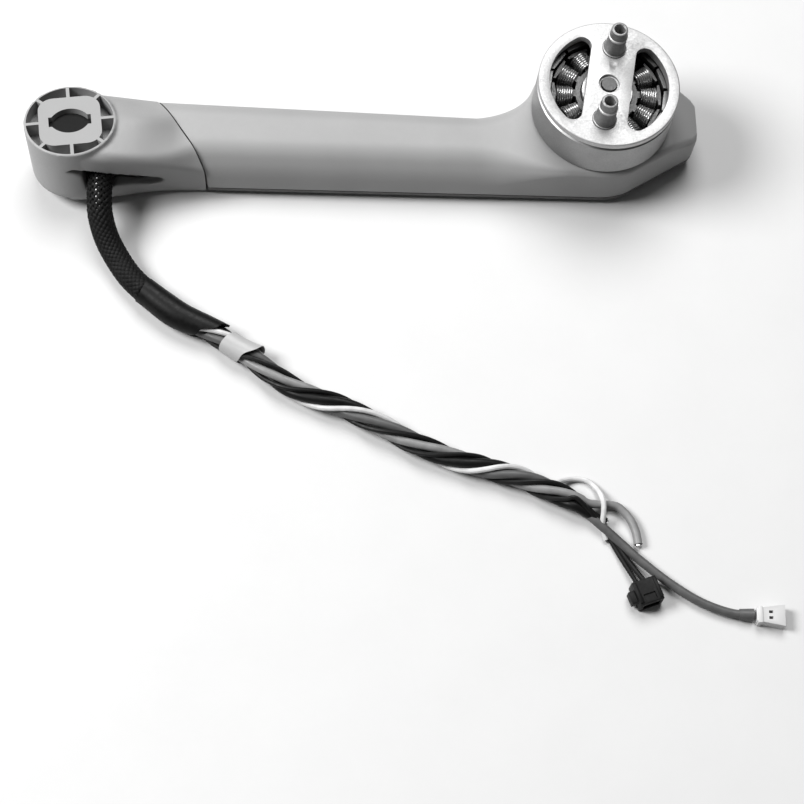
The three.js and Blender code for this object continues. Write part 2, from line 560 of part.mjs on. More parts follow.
// One coil: a tapered block with soft corners round a tooth's neck.
const makeCoil = () => {
  const round = 1.0;
  const end = (radius, half) => [
    [-half + round, COIL.bottom], [half - round, COIL.bottom],
    [half, COIL.bottom + round], [half, COIL.top - round],
    [half - round, COIL.top], [-half + round, COIL.top],
    [-half, COIL.top - round], [-half, COIL.bottom + round],
  ].map(([y, z]) => [radius, y, z]);
  const halfNeck = STATOR.neck / 2 + FIT;
  const channel = block(5, 12, -halfNeck, halfNeck, STATOR.bottom - FIT, STATOR.top + FIT);
  return cut(loft([end(COIL.inner, COIL.innerHalf), end(COIL.outer, COIL.outerHalf)]), channel);
};
const makeWindings = () => {
  const pitch = (2 * Math.PI) / STATOR.teeth;
  const coils = Array.from({ length: STATOR.teeth }, (_, i) => makeCoil().rotateZ(pitch * i));
  const link = ring(7.7, 6.9, COIL.bottom + 0.1, STATOR.bottom - 0.3, 36);
  return join(link, ...coils);
};

const bearingRace = (outer, inner, z) => ring(outer, inner, z - BEARING.half, z + BEARING.half, 20);
const makeCage = (z) => {
  const band = ring(BEARING.pitch + 0.15, BEARING.pitch - 0.15, z - 0.2, z + 0.2, 14);
  const balls = Array.from({ length: BEARING.balls }, (_, i) => new THREE
    .SphereGeometry(BEARING.ball, 6, 4)
    .translate(BEARING.pitch, 0, z)
    .rotateZ((2 * Math.PI * i) / BEARING.balls));
  return join(band, ...balls);
};

// ---------------------------------------------------------------- motor, turning side
const windowShape = (side) => {
  const r = BELL.windowCorner;
  const cx = BELL.bridgeHalf + r;
  const cy = Math.sqrt((BELL.windowRadius - r) ** 2 - cx ** 2);
  const lean = Math.atan2(cy, cx);
  const arc = (x, y, radius, from, to, count) => steps(from, to, count)
    .map((angle) => [x + radius * Math.cos(angle), y + radius * Math.sin(angle)]);
  const points = [
    ...arc(cx, -cy, r, -Math.PI, -lean, 4), ...arc(0, 0, BELL.windowRadius, -lean, lean, 16),
    ...arc(cx, cy, r, lean, Math.PI, 4),
  ];
  const outline = side > 0 ? points : points.map(([x, y]) => [-x, -y]);
  return new THREE.Shape(outline.map((p) => new THREE.Vector2(...p)));
};

const makeBellCap = () => {
  const under = BELL.top - BELL.plate;
  const body = turned([
    [1.65, 19.8], [3.6, 19.8], [3.6, under], [12.0, under], [12.0, 20.0], [12.6, 20.0], [12.6, under],
    [BELL.radius, under], [BELL.radius, BELL.top - 0.3], [BELL.radius - 0.3, BELL.top], [2.0, BELL.top],
    [2.0, BELL.top - 0.6], [1.65, BELL.top - 0.6],
  ], 48);
  const windows = [1, -1].map((side) => prism(windowShape(side), 18, 24));
  const seats = [1, -1].flatMap((side) => [
    rod(POST.flangeRadius + 0.15, BELL.top - 0.35, 24, 24, 0, side * POST.offset),
    rod(1.45, 18, 24, 20, 0, side * POST.offset),
  ]);
  const dimple = new THREE.SphereGeometry(1.6, 16, 12).translate(0.2, 4.4, BELL.top + 1.4);
  return cut(body, ...windows, ...seats, dimple);
};

const makePost = (side) => {
  const base = BELL.top;
  const top = base + POST.height;
  const profile = [
    [0, base - 1.2], [1.3, base - 1.2], [1.3, base - 0.2], [POST.flangeRadius, base - 0.2],
    [POST.flangeRadius, base + 0.25], [POST.radius - 0.05, base + 0.4], [POST.radius - 0.05, top - 1.3],
    [POST.radius + 0.05, top - 1.2], [POST.radius + 0.05, top - 0.2], [POST.radius - 0.15, top],
    [POST.holeRadius + 0.15, top], [POST.holeRadius, top - 0.15],
    [POST.holeRadius, top - POST.holeDepth], [0, top - POST.holeDepth],
  ];
  const points = profile.map(([r, z]) => new THREE.Vector2(r, z));
  return new THREE.LatheGeometry(points, 14).rotateX(Math.PI / 2).translate(0, side * POST.offset, 0);
};

// The magnets as one ring: each is a shallow block, and the ring is thinner between them.
const makeMagnets = () => {
  const corners = [
    [MAGNET.inner, -MAGNET.halfAngle], [MAGNET.inner, MAGNET.halfAngle],
    [MAGNET.between, MAGNET.halfAngle + 0.005], [MAGNET.between, MAGNET.gapEnd],
  ];
  const points = Array.from({ length: MAGNET.count }, (_, i) => {
    const middle = (2 * Math.PI * i) / MAGNET.count;
    return corners.map(([radius, offset]) => new THREE.Vector2(
      radius * Math.cos(middle + offset), radius * Math.sin(middle + offset)));
  }).flat();
  const shape = new THREE.Shape();
  shape.absarc(0, 0, MAGNET.outer, 0, 2 * Math.PI, false);
  shape.holes.push(new THREE.Path(points));
  return prism(shape, MAGNET.bottom, MAGNET.top, 24);
};

// ---------------------------------------------------------------- hinge cartridge
const CAN_TOP = -1.2;
const CAN_ROOF_UNDER = -6.0;
const SPRING = { turns: 4, radius: 2.2, top: -6.45, length: 2.9, wire: 0.5 };
const makeHingeCan = () => cut(
  onPattern(prism(keyedShape(FIT), -HINGE.boreFloor + FIT, CAN_TOP, 8)),
  rod(2.75, -20, CAN_ROOF_UNDER, 20));
const makeSpring = () => {
  const { turns, radius, top, length, wire } = SPRING;
  const route = steps(0, turns, turns * 10).map((turn) => {
    const angle = 2 * Math.PI * turn;
    return [radius * Math.cos(angle), radius * Math.sin(angle), top - (length * turn) / turns];
  });
  return tube(route, wire, turns * 10, 6);
};
const makeFollower = () => cut(rod(2.6, -11.0, -9.75, 20), block(-3, 3, -0.45, 0.45, -11.4, -10.7));
const makeCamShaft = () => {
  const lobe = block(-2.2, 2.2, -0.3, 0.3, -11.6, -11.12);
  return cut(join(rod(2.45, -12.1, -11.4, 20), rod(2.3, -HINGE.height + 0.2, -12.0, 20), lobe),
    block(-0.7, 0.7, -3, 3, -HINGE.height - 1, -HINGE.height + 1.4));
};

// ---------------------------------------------------------------- assembly
add(model, 'hinge_root', makeHingeRoot(), shellPlastic);
add(hingeGroup, 'hinge_can', makeHingeCan(), darkSteel);
add(hingeGroup, 'hinge_spring', makeSpring(), bearingSteel);
add(hingeGroup, 'hinge_follower', makeFollower(), bearingSteel);
add(hingeGroup, 'hinge_cam_shaft', makeCamShaft(), bearingSteel);

add(model, 'arm_shell', makeArmShell(), shellPlastic);
add(model, 'arm_lower_cover', makeLowerCover(), coverPlastic);
const coverScrew = (length, [x, y]) => screw(FIT, 1.65, 0.85, 0.8, length).translate(x, y, 0);
ROOT_SCREWS.forEach((at, i) => add(model, `root_screw_${i + 1}`, coverScrew(6.2, at), zincSteel));
COVER_SCREWS.forEach((at, i) => add(model, `cover_screw_${i + 1}`, coverScrew(5.6, at), zincSteel));
add(model, 'led_lens', block(LENS.x0, LENS.x1, LENS.y0, LENS.y1, 0.1, COVER_FLOOR), whiteNylon);
const ledBoard = block(LENS.x0 - 0.4, LENS.x1 + 0.4, LENS.y0 - 0.8, LENS.y1 + 0.8, 2.7, 3.7);
add(model, 'led_board', ledBoard, boardMask);
add(model, 'inner_harness', tube(INNER_ROUTE, 2.8, 24, 8), blackNylon);

add(motorGroup, 'motor_base', makeMotorBase(), castAlloy);
MOTOR_SCREWS.forEach(([x, y], i) => add(motorGroup, `motor_screw_${i + 1}`,
  screw(6.1, 1.9, 1.15, 0.95, 4.9).translate(x, y, 0), zincSteel));
add(motorGroup, 'stator_core', makeStator(), laminations);
add(motorGroup, 'stator_windings', makeWindings(), enamelWire);
Object.entries(BEARING_Z).forEach(([place, z]) => {
  add(motorGroup, `bearing_${place}_outer`, bearingRace(BEARING.outer, BEARING.outerBore, z), bearingSteel);
  add(motorGroup, `bearing_${place}_cage`, makeCage(z), bearingSteel);
  add(bellGroup, `bearing_${place}_inner`, bearingRace(BEARING.innerOuter, BEARING.bore, z), bearingSteel);
});

add(bellGroup, 'bell_cap', makeBellCap(), brightAlloy);
const fluxTop = BELL.top - BELL.plate - BELL.groove;
const fluxBand = ring(BELL.radius, BELL.radius - BELL.wall, BELL.bottom, fluxTop, 48);
add(bellGroup, 'flux_ring', fluxBand, darkSteel);
add(bellGroup, 'magnet_ring', makeMagnets(), magnetBlack);
add(bellGroup, 'motor_shaft', rod(SHAFT_RADIUS, 7.6, BELL.top - 0.15, 24), bearingSteel);
add(bellGroup, 'shaft_clip', ring(2.4, SHAFT_RADIUS + FIT, 8.2, 8.8, 20), darkSteel);
add(bellGroup, 'prop_post_far', makePost(1), darkSteel);
add(bellGroup, 'prop_post_near', makePost(-1), darkSteel);

// ---------------------------------------------------------------- harness on the ground
add(model, 'cable_sleeve', tube(SLEEVE_ROUTE, SLEEVE_DIAMETER, 16, 12), blackNylon);
add(model, 'heat_shrink', tube(SHRINK_ROUTE, SHRINK_DIAMETER, 6, 12), blackNylon);
add(model, 'harness_neck', tube(NECK_ROUTE, 4.0, 3, 10), greyInsulation);
add(model, 'tape_band', tube(TAPE_ROUTE, 4.8, 2, 12), clearTape);
add(model, 'wire_bundle', tube(BUNDLE_ROUTE, BUNDLE_DIAMETER, 22, 10), greyInsulation);
add(model, 'wire_loop', tube(LOOP_ROUTE, 1.9, 10, 8), greyInsulation);
add(model, 'thin_lead', tube(THIN_ROUTE, 1.8, 8, 8), greyInsulation);
add(model, 'grey_cable', tube(GREY_ROUTE, 2.0, 18, 8), greyInsulation);

const setDown = (geometry, [x, y, z], degrees) => geometry
  .rotateZ(THREE.MathUtils.degToRad(degrees))
  .translate(x, y, z);
const makeBlackPlug = () => cut(
  join(block(-2.4, 2.4, -4.8, 0, 0, 3.4), block(-3.5, -2.2, -3.7, -1.3, 0.6, 2.6)),
  block(-1.7, 1.7, -6, -1.6, 0.9, 2.5));
const makeWhitePlug = () => cut(
  block(0, 5.4, -2.2, 2.2, 0, 2.6),
  block(2.2, 6, -1.5, -0.25, 0.7, 1.9),
  block(2.2, 6, 0.25, 1.5, 0.7, 1.9));
add(model, 'black_plug', setDown(makeBlackPlug(), [108.7, -87.9, 0.1], 12), blackNylon);
add(model, 'white_plug', setDown(makeWhitePlug(), [130.2, -94.2, 0.1], -2), whiteNylon);

export default model;
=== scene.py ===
"""Blender scene for a folding drone motor arm with its wire harness."""
import math
import random

import bmesh
import bpy
from mathutils import Matrix, Vector


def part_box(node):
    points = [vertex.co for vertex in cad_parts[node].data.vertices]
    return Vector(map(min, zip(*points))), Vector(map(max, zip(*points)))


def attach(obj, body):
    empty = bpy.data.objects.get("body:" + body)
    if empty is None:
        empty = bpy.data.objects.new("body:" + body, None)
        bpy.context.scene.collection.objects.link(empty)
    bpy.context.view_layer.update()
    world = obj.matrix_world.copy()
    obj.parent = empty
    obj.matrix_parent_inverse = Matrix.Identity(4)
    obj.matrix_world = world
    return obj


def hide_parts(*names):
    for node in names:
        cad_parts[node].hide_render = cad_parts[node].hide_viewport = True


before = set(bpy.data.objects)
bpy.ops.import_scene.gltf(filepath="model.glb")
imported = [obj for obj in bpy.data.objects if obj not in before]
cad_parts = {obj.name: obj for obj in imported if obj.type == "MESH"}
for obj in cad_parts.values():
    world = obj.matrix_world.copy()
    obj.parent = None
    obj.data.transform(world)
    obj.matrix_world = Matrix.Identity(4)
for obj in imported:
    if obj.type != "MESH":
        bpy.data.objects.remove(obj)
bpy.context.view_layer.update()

# ---------------------------------------------------------------- sizes and places
MM = 0.001
ring_low, ring_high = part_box("flux_ring")
MOTOR = Vector(((ring_low[0] + ring_high[0]) / 2, (ring_low[1] + ring_high[1]) / 2, 0.0))
MOTOR_X = 104.63  # the motor's axis, in millimetres from the hinge's axis
MOTOR_Y = 7.66
ARM = MOTOR - Vector((MOTOR_X, MOTOR_Y, 0.0)) * MM  # under the hinge axis, on the ground


def place(point):
    """A point of the arm's drawing, in millimetres from its own origin, in the frame's metres."""
    return ARM + Vector(point) * MM


# ---------------------------------------------------------------- camera, floor and light
CAMERA_PLACE = (29.84, -223.97, 392.22)
CAMERA_AZIMUTH = 11.436
CAMERA_ELEVATION = 65.81
CAMERA_ROLL = 11.459
CAMERA_LENS = 100.0
FLOOR_SIDE = 3.0
LIT_POINT = (55, -25, 0)
LIGHT_DISTANCE = 0.9


def add_camera():
    data = bpy.data.cameras.new("camera")
    data.lens = CAMERA_LENS
    data.clip_start = 0.01
    camera = bpy.data.objects.new("camera", data)
    bpy.context.collection.objects.link(camera)
    turn = Matrix.Rotation(math.radians(-CAMERA_AZIMUTH), 4, "Z")
    tilt = Matrix.Rotation(math.radians(90 - CAMERA_ELEVATION), 4, "X")
    roll = Matrix.Rotation(math.radians(CAMERA_ROLL), 4, "Z")
    camera.matrix_world = Matrix.Translation(place(CAMERA_PLACE)) @ turn @ tilt @ roll
    bpy.context.scene.camera = camera


def add_area_light(name, towards, size, power):
    """A round soft light that shines at the arm's middle from the direction `towards`."""
    middle = place(LIT_POINT)
    data = bpy.data.lights.new(name, "AREA")
    data.shape = "DISK"
    data.size = size
    data.energy = power
    lamp = bpy.data.objects.new(name, data)
    lamp.location = middle + Vector(towards).normalized() * LIGHT_DISTANCE
    lamp.rotation_euler = (middle - lamp.location).to_track_quat("-Z", "Y").to_euler()
    bpy.context.collection.objects.link(lamp)


def add_world(strength):
    world = bpy.data.worlds.new("studio")
    world.use_nodes = True
    world.node_tree.nodes["Background"].inputs["Color"].default_value = (1, 1, 1, 1)
    world.node_tree.nodes["Background"].inputs["Strength"].default_value = strength
    bpy.context.scene.world = world


def add_floor():
    half = FLOOR_SIDE / 2
    corners = [(ARM.x + x * half, ARM.y + y * half, 0.0) for x, y in ((-1, -1), (1, -1), (1, 1), (-1, 1))]
    mesh = bpy.data.meshes.new("floor")
    mesh.from_pydata(corners, [], [(0, 1, 2, 3)])
    floor = bpy.data.objects.new("floor", mesh)
    bpy.context.collection.objects.link(floor)
    floor.data.materials.append(moulded("floor", 0.54, 0.8, 1.5, 0.01))


add_camera()
add_world(0.09)
add_area_light("key", (-0.7, 0.06, 0.7), 0.4, 11.8)
add_area_light("overhead", (0.04, 0.5, 0.87), 0.6, 8.0)
bpy.context.scene.view_settings.view_transform = "Standard"


# ---------------------------------------------------------------- materials
NOISE_LOW = 0.3  # most of a noise's values lie between these two
NOISE_HIGH = 0.7


class Look:
    """A procedural material, built node by node from its Principled shader."""

    def __init__(self, name, shade, roughness, metallic=0.0, **sockets):
        self.material = bpy.data.materials.new(name)
        self.material.use_nodes = True
        self.tree = self.material.node_tree
        self.shader = self.tree.nodes["Principled BSDF"]
        self.set("Base Color", (shade, shade, shade, 1.0))
        self.set("Roughness", roughness)
        self.set("Metallic", metallic)
        for socket, value in sockets.items():
            self.set(socket.replace("_", " "), value)

    def set(self, socket, value):
        self.shader.inputs[socket].default_value = value

    def node(self, kind, **inputs):
        made = self.tree.nodes.new(kind)
        for name, value in inputs.items():
            socket = name.replace("_", " ")
            if isinstance(value, bpy.types.NodeSocket):
                self.tree.links.new(value, made.inputs[socket])
            else:
                made.inputs[socket].default_value = value
        return made

    def coordinates(self, shift=(0, 0, 0)):
        """Object coordinates in metres, moved by the shift."""
        source = self.node("ShaderNodeTexCoord").outputs["Object"]
        return self.node("ShaderNodeMapping", Vector=source, Location=shift).outputs["Vector"]

    def noise(self, size_mm, detail):
        """A noise whose features are about size_mm across."""
        return self.node("ShaderNodeTexNoise", Vector=self.coordinates(), Scale=1 / (size_mm * MM),
                         Detail=detail, Roughness=0.55).outputs["Fac"]

    def tint(self, value, low, high):
        """The base colour goes from low to high with the value."""
        ramp = self.node("ShaderNodeValToRGB")
        ramp.color_ramp.elements[0].position = NOISE_LOW
        ramp.color_ramp.elements[1].position = NOISE_HIGH
        ramp.color_ramp.elements[0].color = (low, low, low, 1)
        ramp.color_ramp.elements[1].color = (high, high, high, 1)
        self.tree.links.new(value, ramp.inputs["Fac"])
        self.tree.links.new(ramp.outputs["Color"], self.shader.inputs["Base Color"])

    def rough(self, value, low, high):
        """The roughness goes from low to high with the value."""
        spread = self.node("ShaderNodeMapRange", Value=value, From_Min=NOISE_LOW, From_Max=NOISE_HIGH,
                           To_Min=low, To_Max=high)
        self.tree.links.new(spread.outputs["Result"], self.shader.inputs["Roughness"])

    def bump(self, value, depth_mm, strength):
        made = self.node("ShaderNodeBump", Height=value, Strength=strength, Distance=depth_mm * MM)
        self.tree.links.new(made.outputs["Normal"], self.shader.inputs["Normal"])


def moulded(name, shade, roughness, grain_mm=0.35, spread=0.04, shine=0.35):
    """Moulded plastic: a fine spark-eroded grain, slightly uneven in colour and gloss."""
    look = Look(name, shade, roughness, Specular_IOR_Level=shine)
    broad = look.noise(14, 3)
    fine = look.noise(grain_mm, 4)
    look.tint(broad, shade * (1 - spread), shade * (1 + spread))
    look.rough(fine, roughness - 0.06, roughness + 0.08)
    look.bump(fine, 0.02, 0.5)
    return look.material


def metal(name, shade, roughness, grain_mm=0.25):
    """Bare metal with a fine grain."""
    look = Look(name, shade, roughness, 1.0)
    fine = look.noise(grain_mm, 5)
    look.tint(look.noise(3, 3), shade * 0.9, min(1.0, shade * 1.08))
    look.rough(fine, roughness * 0.8, roughness * 1.35)
    look.bump(fine, 0.006, 0.4)
    return look.material


def turned_metal(name, shade, roughness, groove_mm=0.12):
    """Metal turned on a lathe: fine rings round the motor's axis."""
    look = Look(name, shade, roughness, 1.0, Anisotropic=0.35)
    wave = look.node("ShaderNodeTexWave", Scale=1 / (groove_mm * MM) / 20, Distortion=1.5, Detail=2.0)
    wave.wave_type = "RINGS"
    wave.rings_direction = "Z"
    look.tree.links.new(look.coordinates(-MOTOR), wave.inputs["Vector"])
    look.tint(look.noise(4, 3), shade * 0.93, min(1.0, shade * 1.05))
    look.rough(look.noise(0.3, 4), roughness * 0.85, roughness * 1.25)
    look.bump(wave.outputs["Fac"], 0.004, 0.35)
    return look.material


def insulation(name, shade, roughness=0.38, shine=0.5):
    """Silicone or vinyl insulation: smooth, a little dusty and uneven."""
    look = Look(name, shade, roughness, Specular_IOR_Level=shine)
    look.tint(look.noise(2.5, 3), shade * 0.82, shade * 1.12 + 0.002)
    look.rough(look.noise(0.8, 3), roughness - 0.08, roughness + 0.12)
    look.bump(look.noise(0.5, 3), 0.015, 0.5)
    return look.material


def enamel(name, shade):
    """Glossy lacquered winding wire: dark, but it mirrors the light."""
    look = Look(name, shade, 0.24, 0.85, Coat_Weight=1.0, Coat_Roughness=0.12)
    look.tint(look.noise(1.2, 3), shade * 0.7, shade * 1.3)
    look.rough(look.noise(0.5, 3), 0.2, 0.34)
    look.bump(look.noise(0.4, 3), 0.008, 0.3)
    return look.material


LOOKS = {
    "shell": moulded("shell_plastic", 0.25, 0.5),
    # The cover's plastic is far darker than the shell's: partly a darker moulding, partly painted shade for
    # the arm's rounded underside edge.
    "cover": moulded("cover_plastic", 0.085, 0.55),
    "cast": metal("cast_alloy", 0.36, 0.45, 0.5),
    "bell": turned_metal("bright_alloy", 0.5, 0.62),
    "flux": turned_metal("flux_steel", 0.3, 0.45),
    "post": metal("post_steel", 0.2, 0.5, 0.4),
    "dark_steel": metal("dark_steel", 0.2, 0.4),
    "bearing": metal("bearing_steel", 0.6, 0.2),
    "magnet": metal("magnet_plating", 0.12, 0.35, 0.6),
    "laminations": metal("laminations", 0.09, 0.5),
    "enamel": enamel("enamelled_wire", 0.34),
    "zinc": metal("zinc_steel", 0.5, 0.3),
    "black": insulation("black_insulation", 0.004, 0.42, 0.13),
    "black_thin": insulation("black_thin_insulation", 0.006, 0.45, 0.14),
    "grey": insulation("grey_insulation", 0.072, 0.42, 0.3),
    "pale": insulation("pale_insulation", 0.19, 0.42, 0.3),
    "white": insulation("white_insulation", 0.5, 0.42, 0.3),
    "braid": insulation("black_braid", 0.003, 0.6, 0.13),
    "shrink": insulation("heat_shrink", 0.003, 0.42, 0.13),
    "tape": moulded("clear_tape", 0.33, 0.35, 1.5),
    "nylon_black": moulded("black_nylon", 0.005, 0.5, 0.5, 0.2, 0.14),
    "nylon_white": moulded("white_nylon", 0.5, 0.4),
    "board": moulded("board", 0.06, 0.5),
}

# ---------------------------------------------------------------- mesh helpers
def new_object(name, points, faces, look=None, angle=35):
    """A mesh object from points in the arm's drawing."""
    mesh = bpy.data.meshes.new(name)
    mesh.from_pydata([place(p) for p in points], [], faces)
    mesh.validate()
    made = bpy.data.objects.new(name, mesh)
    bpy.context.collection.objects.link(made)
    finish_surface(made, angle)
    if look:
        mesh.materials.append(LOOKS[look])
    return made


def faces_outward(mesh):
    work = bmesh.new()
    work.from_mesh(mesh)
    bmesh.ops.recalc_face_normals(work, faces=work.faces)
    work.to_mesh(mesh)
    work.free()


def finish_surface(made, angle=35):
    """Faces all point out, and edges sharper than the angle stay sharp."""
    faces_outward(made.data)
    made.data.shade_smooth()
    made.data.set_sharp_from_angle(angle=math.radians(angle))


def catmull(points, step):
    """Points about `step` millimetres apart along a smooth curve through the route's points."""
    points = [Vector(p) for p in points]
    before = points[0] * 2 - points[1]
    after = points[-1] * 2 - points[-2]
    row = [before, *points, after]
    fine = []
    for a, b, c, d in zip(row, row[1:], row[2:], row[3:]):
        count = max(2, math.ceil((c - b).length / step) * 3)
        for k in range(count):
            t = k / count
            fine.append(0.5 * (2 * b + (c - a) * t + (2 * a - 5 * b + 4 * c - d) * t**2
                               + (3 * b - a - 3 * c + d) * t**3))
    fine.append(points[-1])
    return evenly(fine, step)


def distances(line):
    """How far along the line each of its points lies."""
    made = [0.0]
    for a, b in zip(line, line[1:]):
        made.append(made[-1] + (b - a).length)
    return made


def evenly(points, step):
    """The same line with its points spaced evenly."""
    lengths = distances(points)
    count = max(2, round(lengths[-1] / step))
    made = []
    i = 0
    for k in range(count + 1):
        at = lengths[-1] * k / count
        while i + 2 < len(lengths) and lengths[i + 1] < at:
            i += 1
        share = (at - lengths[i]) / max(lengths[i + 1] - lengths[i], 1e-9)
        made.append(points[i].lerp(points[i + 1], min(1.0, share)))
    return made


def directions(line):
    return [(line[min(i + 1, len(line) - 1)] - line[max(i - 1, 0)]).normalized() for i in range(len(line))]


def lattice(rows, around, looped=False):
    """The faces between rows of `around` points each. A looped lattice joins its last row to its first."""
    faces = []
    for i in range(rows if looped else rows - 1):
        here, there = i * around, (i + 1) % rows * around
        for k in range(around):
            m = (k + 1) % around
            faces.append((here + k, here + m, there + m, there + k))
    return faces


def tube_geometry(line, radius, sides=14):
    """Rings round a line, with both ends capped. radius may be a function of the share of the way along."""
    size = radius if callable(radius) else (lambda share: radius)
    points = []
    tangents = directions(line)
    side = tangents[0].cross(Vector((0, 0, 1))).normalized()
    for i, (centre, tangent) in enumerate(zip(line, tangents)):
        side = (side - tangent * side.dot(tangent)).normalized()
        up = side.cross(tangent)
        reach = size(i / (len(line) - 1))
        for k in range(sides):
            angle = 2 * math.pi * k / sides
            points.append(centre + (side * math.cos(angle) + up * math.sin(angle)) * reach)
    faces = lattice(len(line), sides)
    faces.append(tuple(range(sides)))
    faces.append(tuple(range(len(points) - sides, len(points)))[::-1])
    return points, faces


def gather(parts):
    """Several (points, faces) as one."""
    points, faces = [], []
    for more_points, more_faces in parts:
        shift = len(points)
        points += more_points
        faces += [tuple(i + shift for i in face) for face in more_faces]
    return points, faces


def add_piece(made, body, slot, *replaced):
    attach(made, body)
    if replaced:
        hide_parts(*replaced)
    return made


# ---------------------------------------------------------------- solid helpers, in millimetres
def turned(profile, sides=96, closed=False):
    """A solid of revolution about Z from a profile of (radius, z)."""
    points, faces, rings = [], [], []
    for radius, z in profile:
        first = len(points)
        if radius < 1e-6:
            points.append(Vector((0, 0, z)))
            rings.append([first] * sides)
            continue
        for k in range(sides):
            angle = 2 * math.pi * k / sides
            points.append(Vector((radius * math.cos(angle), radius * math.sin(angle), z)))
        rings.append(list(range(first, first + sides)))
    pairs = list(zip(rings, rings[1:])) + ([(rings[-1], rings[0])] if closed else [])
    for low, high in pairs:
        for k in range(sides):
            m = (k + 1) % sides
            face = tuple(dict.fromkeys((low[k], low[m], high[m], high[k])))
            if len(face) > 2:
                faces.append(face)
    return points, faces


def stack(rings):
    """A closed skin through rings of the same number of points."""
    count = len(rings[0])
    points = [Vector(p) for ring in rings for p in ring]
    faces = lattice(len(rings), count)
    faces.append(tuple(range(count))[::-1])
    faces.append(tuple(range(len(points) - count, len(points))))
    return points, faces


def prism(outline, z0, z1):
    return stack([[(x, y, z) for x, y in outline] for z in (z0, z1)])


def block(x0, x1, y0, y1, z0, z1):
    return prism([(x0, y0), (x1, y0), (x1, y1), (x0, y1)], z0, z1)


def rod(radius, z0, z1, sides=64, x=0.0, y=0.0):
    return moved(turned([(0, z0), (radius, z0), (radius, z1), (0, z1)], sides), Matrix.Translation((x, y, 0)))


def moved(geometry, matrix):
    points, faces = geometry
    return [matrix @ Vector(p) for p in points], faces


def spun(geometry, degrees):
    return moved(geometry, Matrix.Rotation(math.radians(degrees), 4, "Z"))


def solid(geometry):
    """A working object in millimetres, for cutting and joining."""
    mesh = bpy.data.meshes.new("work")
    mesh.from_pydata(geometry[0], [], geometry[1])
    made = bpy.data.objects.new("work", mesh)
    bpy.context.collection.objects.link(made)
    faces_outward(mesh)
    return made


def applied(made):
    """The object with its modifiers applied."""
    graph = bpy.context.evaluated_depsgraph_get()
    mesh = bpy.data.meshes.new_from_object(made.evaluated_get(graph))
    made.modifiers.clear()
    made.data = mesh
    return made


def working(thing):
    """A working object from one, or from its points and faces."""
    return solid(thing) if isinstance(thing, tuple) else thing


def combined(operation, base, tools):
    base = working(base)
    for tool in map(working, tools):
        modifier = base.modifiers.new("work", "BOOLEAN")
        modifier.operation = operation
        modifier.solver = "MANIFOLD"
        modifier.object = tool
        applied(base)
        bpy.data.objects.remove(tool)
    return base


def cut(base, *tools):
    return combined("DIFFERENCE", base, tools)


def join(base, *tools):
    return combined("UNION", base, tools)


def keep(base, *tools):
    return combined("INTERSECT", base, tools)


def edge_rounded(made, width, segments=2, angle=50):
    modifier = made.modifiers.new("edge", "BEVEL")
    modifier.width = width
    modifier.segments = segments
    modifier.limit_method = "ANGLE"
    modifier.angle_limit = math.radians(angle)
    modifier.harden_normals = False
    return applied(made)


def released(name, made, look, body, slot, replaced=(), angle=35):
    """The working object as a piece of the scene, in metres and with its finish."""
    made.data.transform(Matrix.Translation(ARM) @ Matrix.Scale(MM, 4))
    made.name = name
    made.data.name = name
    made.data.materials.clear()
    made.data.materials.append(LOOKS[look])
    finish_surface(made, angle)
    return add_piece(made, body, slot, *replaced)


# ---------------------------------------------------------------- the arm's outline
GAP = 0.3
FIT = 0.15
WALL = 1.6
SPLIT_Z = 2.6
COVER_TOP = SPLIT_Z - FIT
COVER_FLOOR = 1.5
SEAM_BACK = (17.3, 7.4)
SEAM_FRONT = (26.7, -6.8)
ARM_FRONT = -6.8
ARM_BACK_START = 9.1
ARM_BACK_END = 7.3
FILLET_X = 80.0
FILLET_ANGLE = 158
CLIMB = (80.0, 98.0)
TOP_LINE = [(10, 11.1), (80, 10.7)]
WALL_TOP = 7.0
FRONT_LEAN = 1.1
FRONT_BEVEL = 4.6
BACK_BEVEL = 2.5
BACK_DROP = 1.7
POD_RADIUS = 14.5
POD_TOP = 11.8
POD_EDGE = 0.9
NOSE_X = 124.4
NOSE_FRONT = 2.9
NOSE_BACK = 12.4
NOSE_ROUND = 0.9
SLOPE_X = 118.9
SLOPE = 0.43
SEAT_RADIUS = 11.8
SEAT_FLOOR = 9.2
ROOF_UNDER = 7.4


def mix(a, b, share):
    return a + (b - a) * share


def smooth(low, high, x):
    t = min(1.0, max(0.0, (x - low) / (high - low)))
    return t * t * (3 - 2 * t)


def steps(start, end, count):
    return [start + (end - start) * i / count for i in range(count + 1)]


def arc(radius, start, end, count, x=0.0, y=0.0):
    """Points on a circle about (x, y), from one angle to another."""
    return [(x + radius * math.cos(a), y + radius * math.sin(a)) for a in steps(start, end, count)]


def along(rows, x):
    """Straight-line values of a table of (x, ...) rows at x."""
    if x <= rows[0][0]:
        return rows[0][1:]
    for a, b in zip(rows, rows[1:]):
        if x <= b[0]:
            share = (x - a[0]) / (b[0] - a[0])
            return tuple(mix(u, v, share) for u, v in zip(a[1:], b[1:]))
    return rows[-1][1:]


def eased(rows, x, reach=1.6):
    """The table's values at x with its corners softened over a few millimetres."""
    samples = [along(rows, x + offset) for offset in steps(-reach, reach, 8)]
    return tuple(sum(values) / len(samples) for values in zip(*samples))


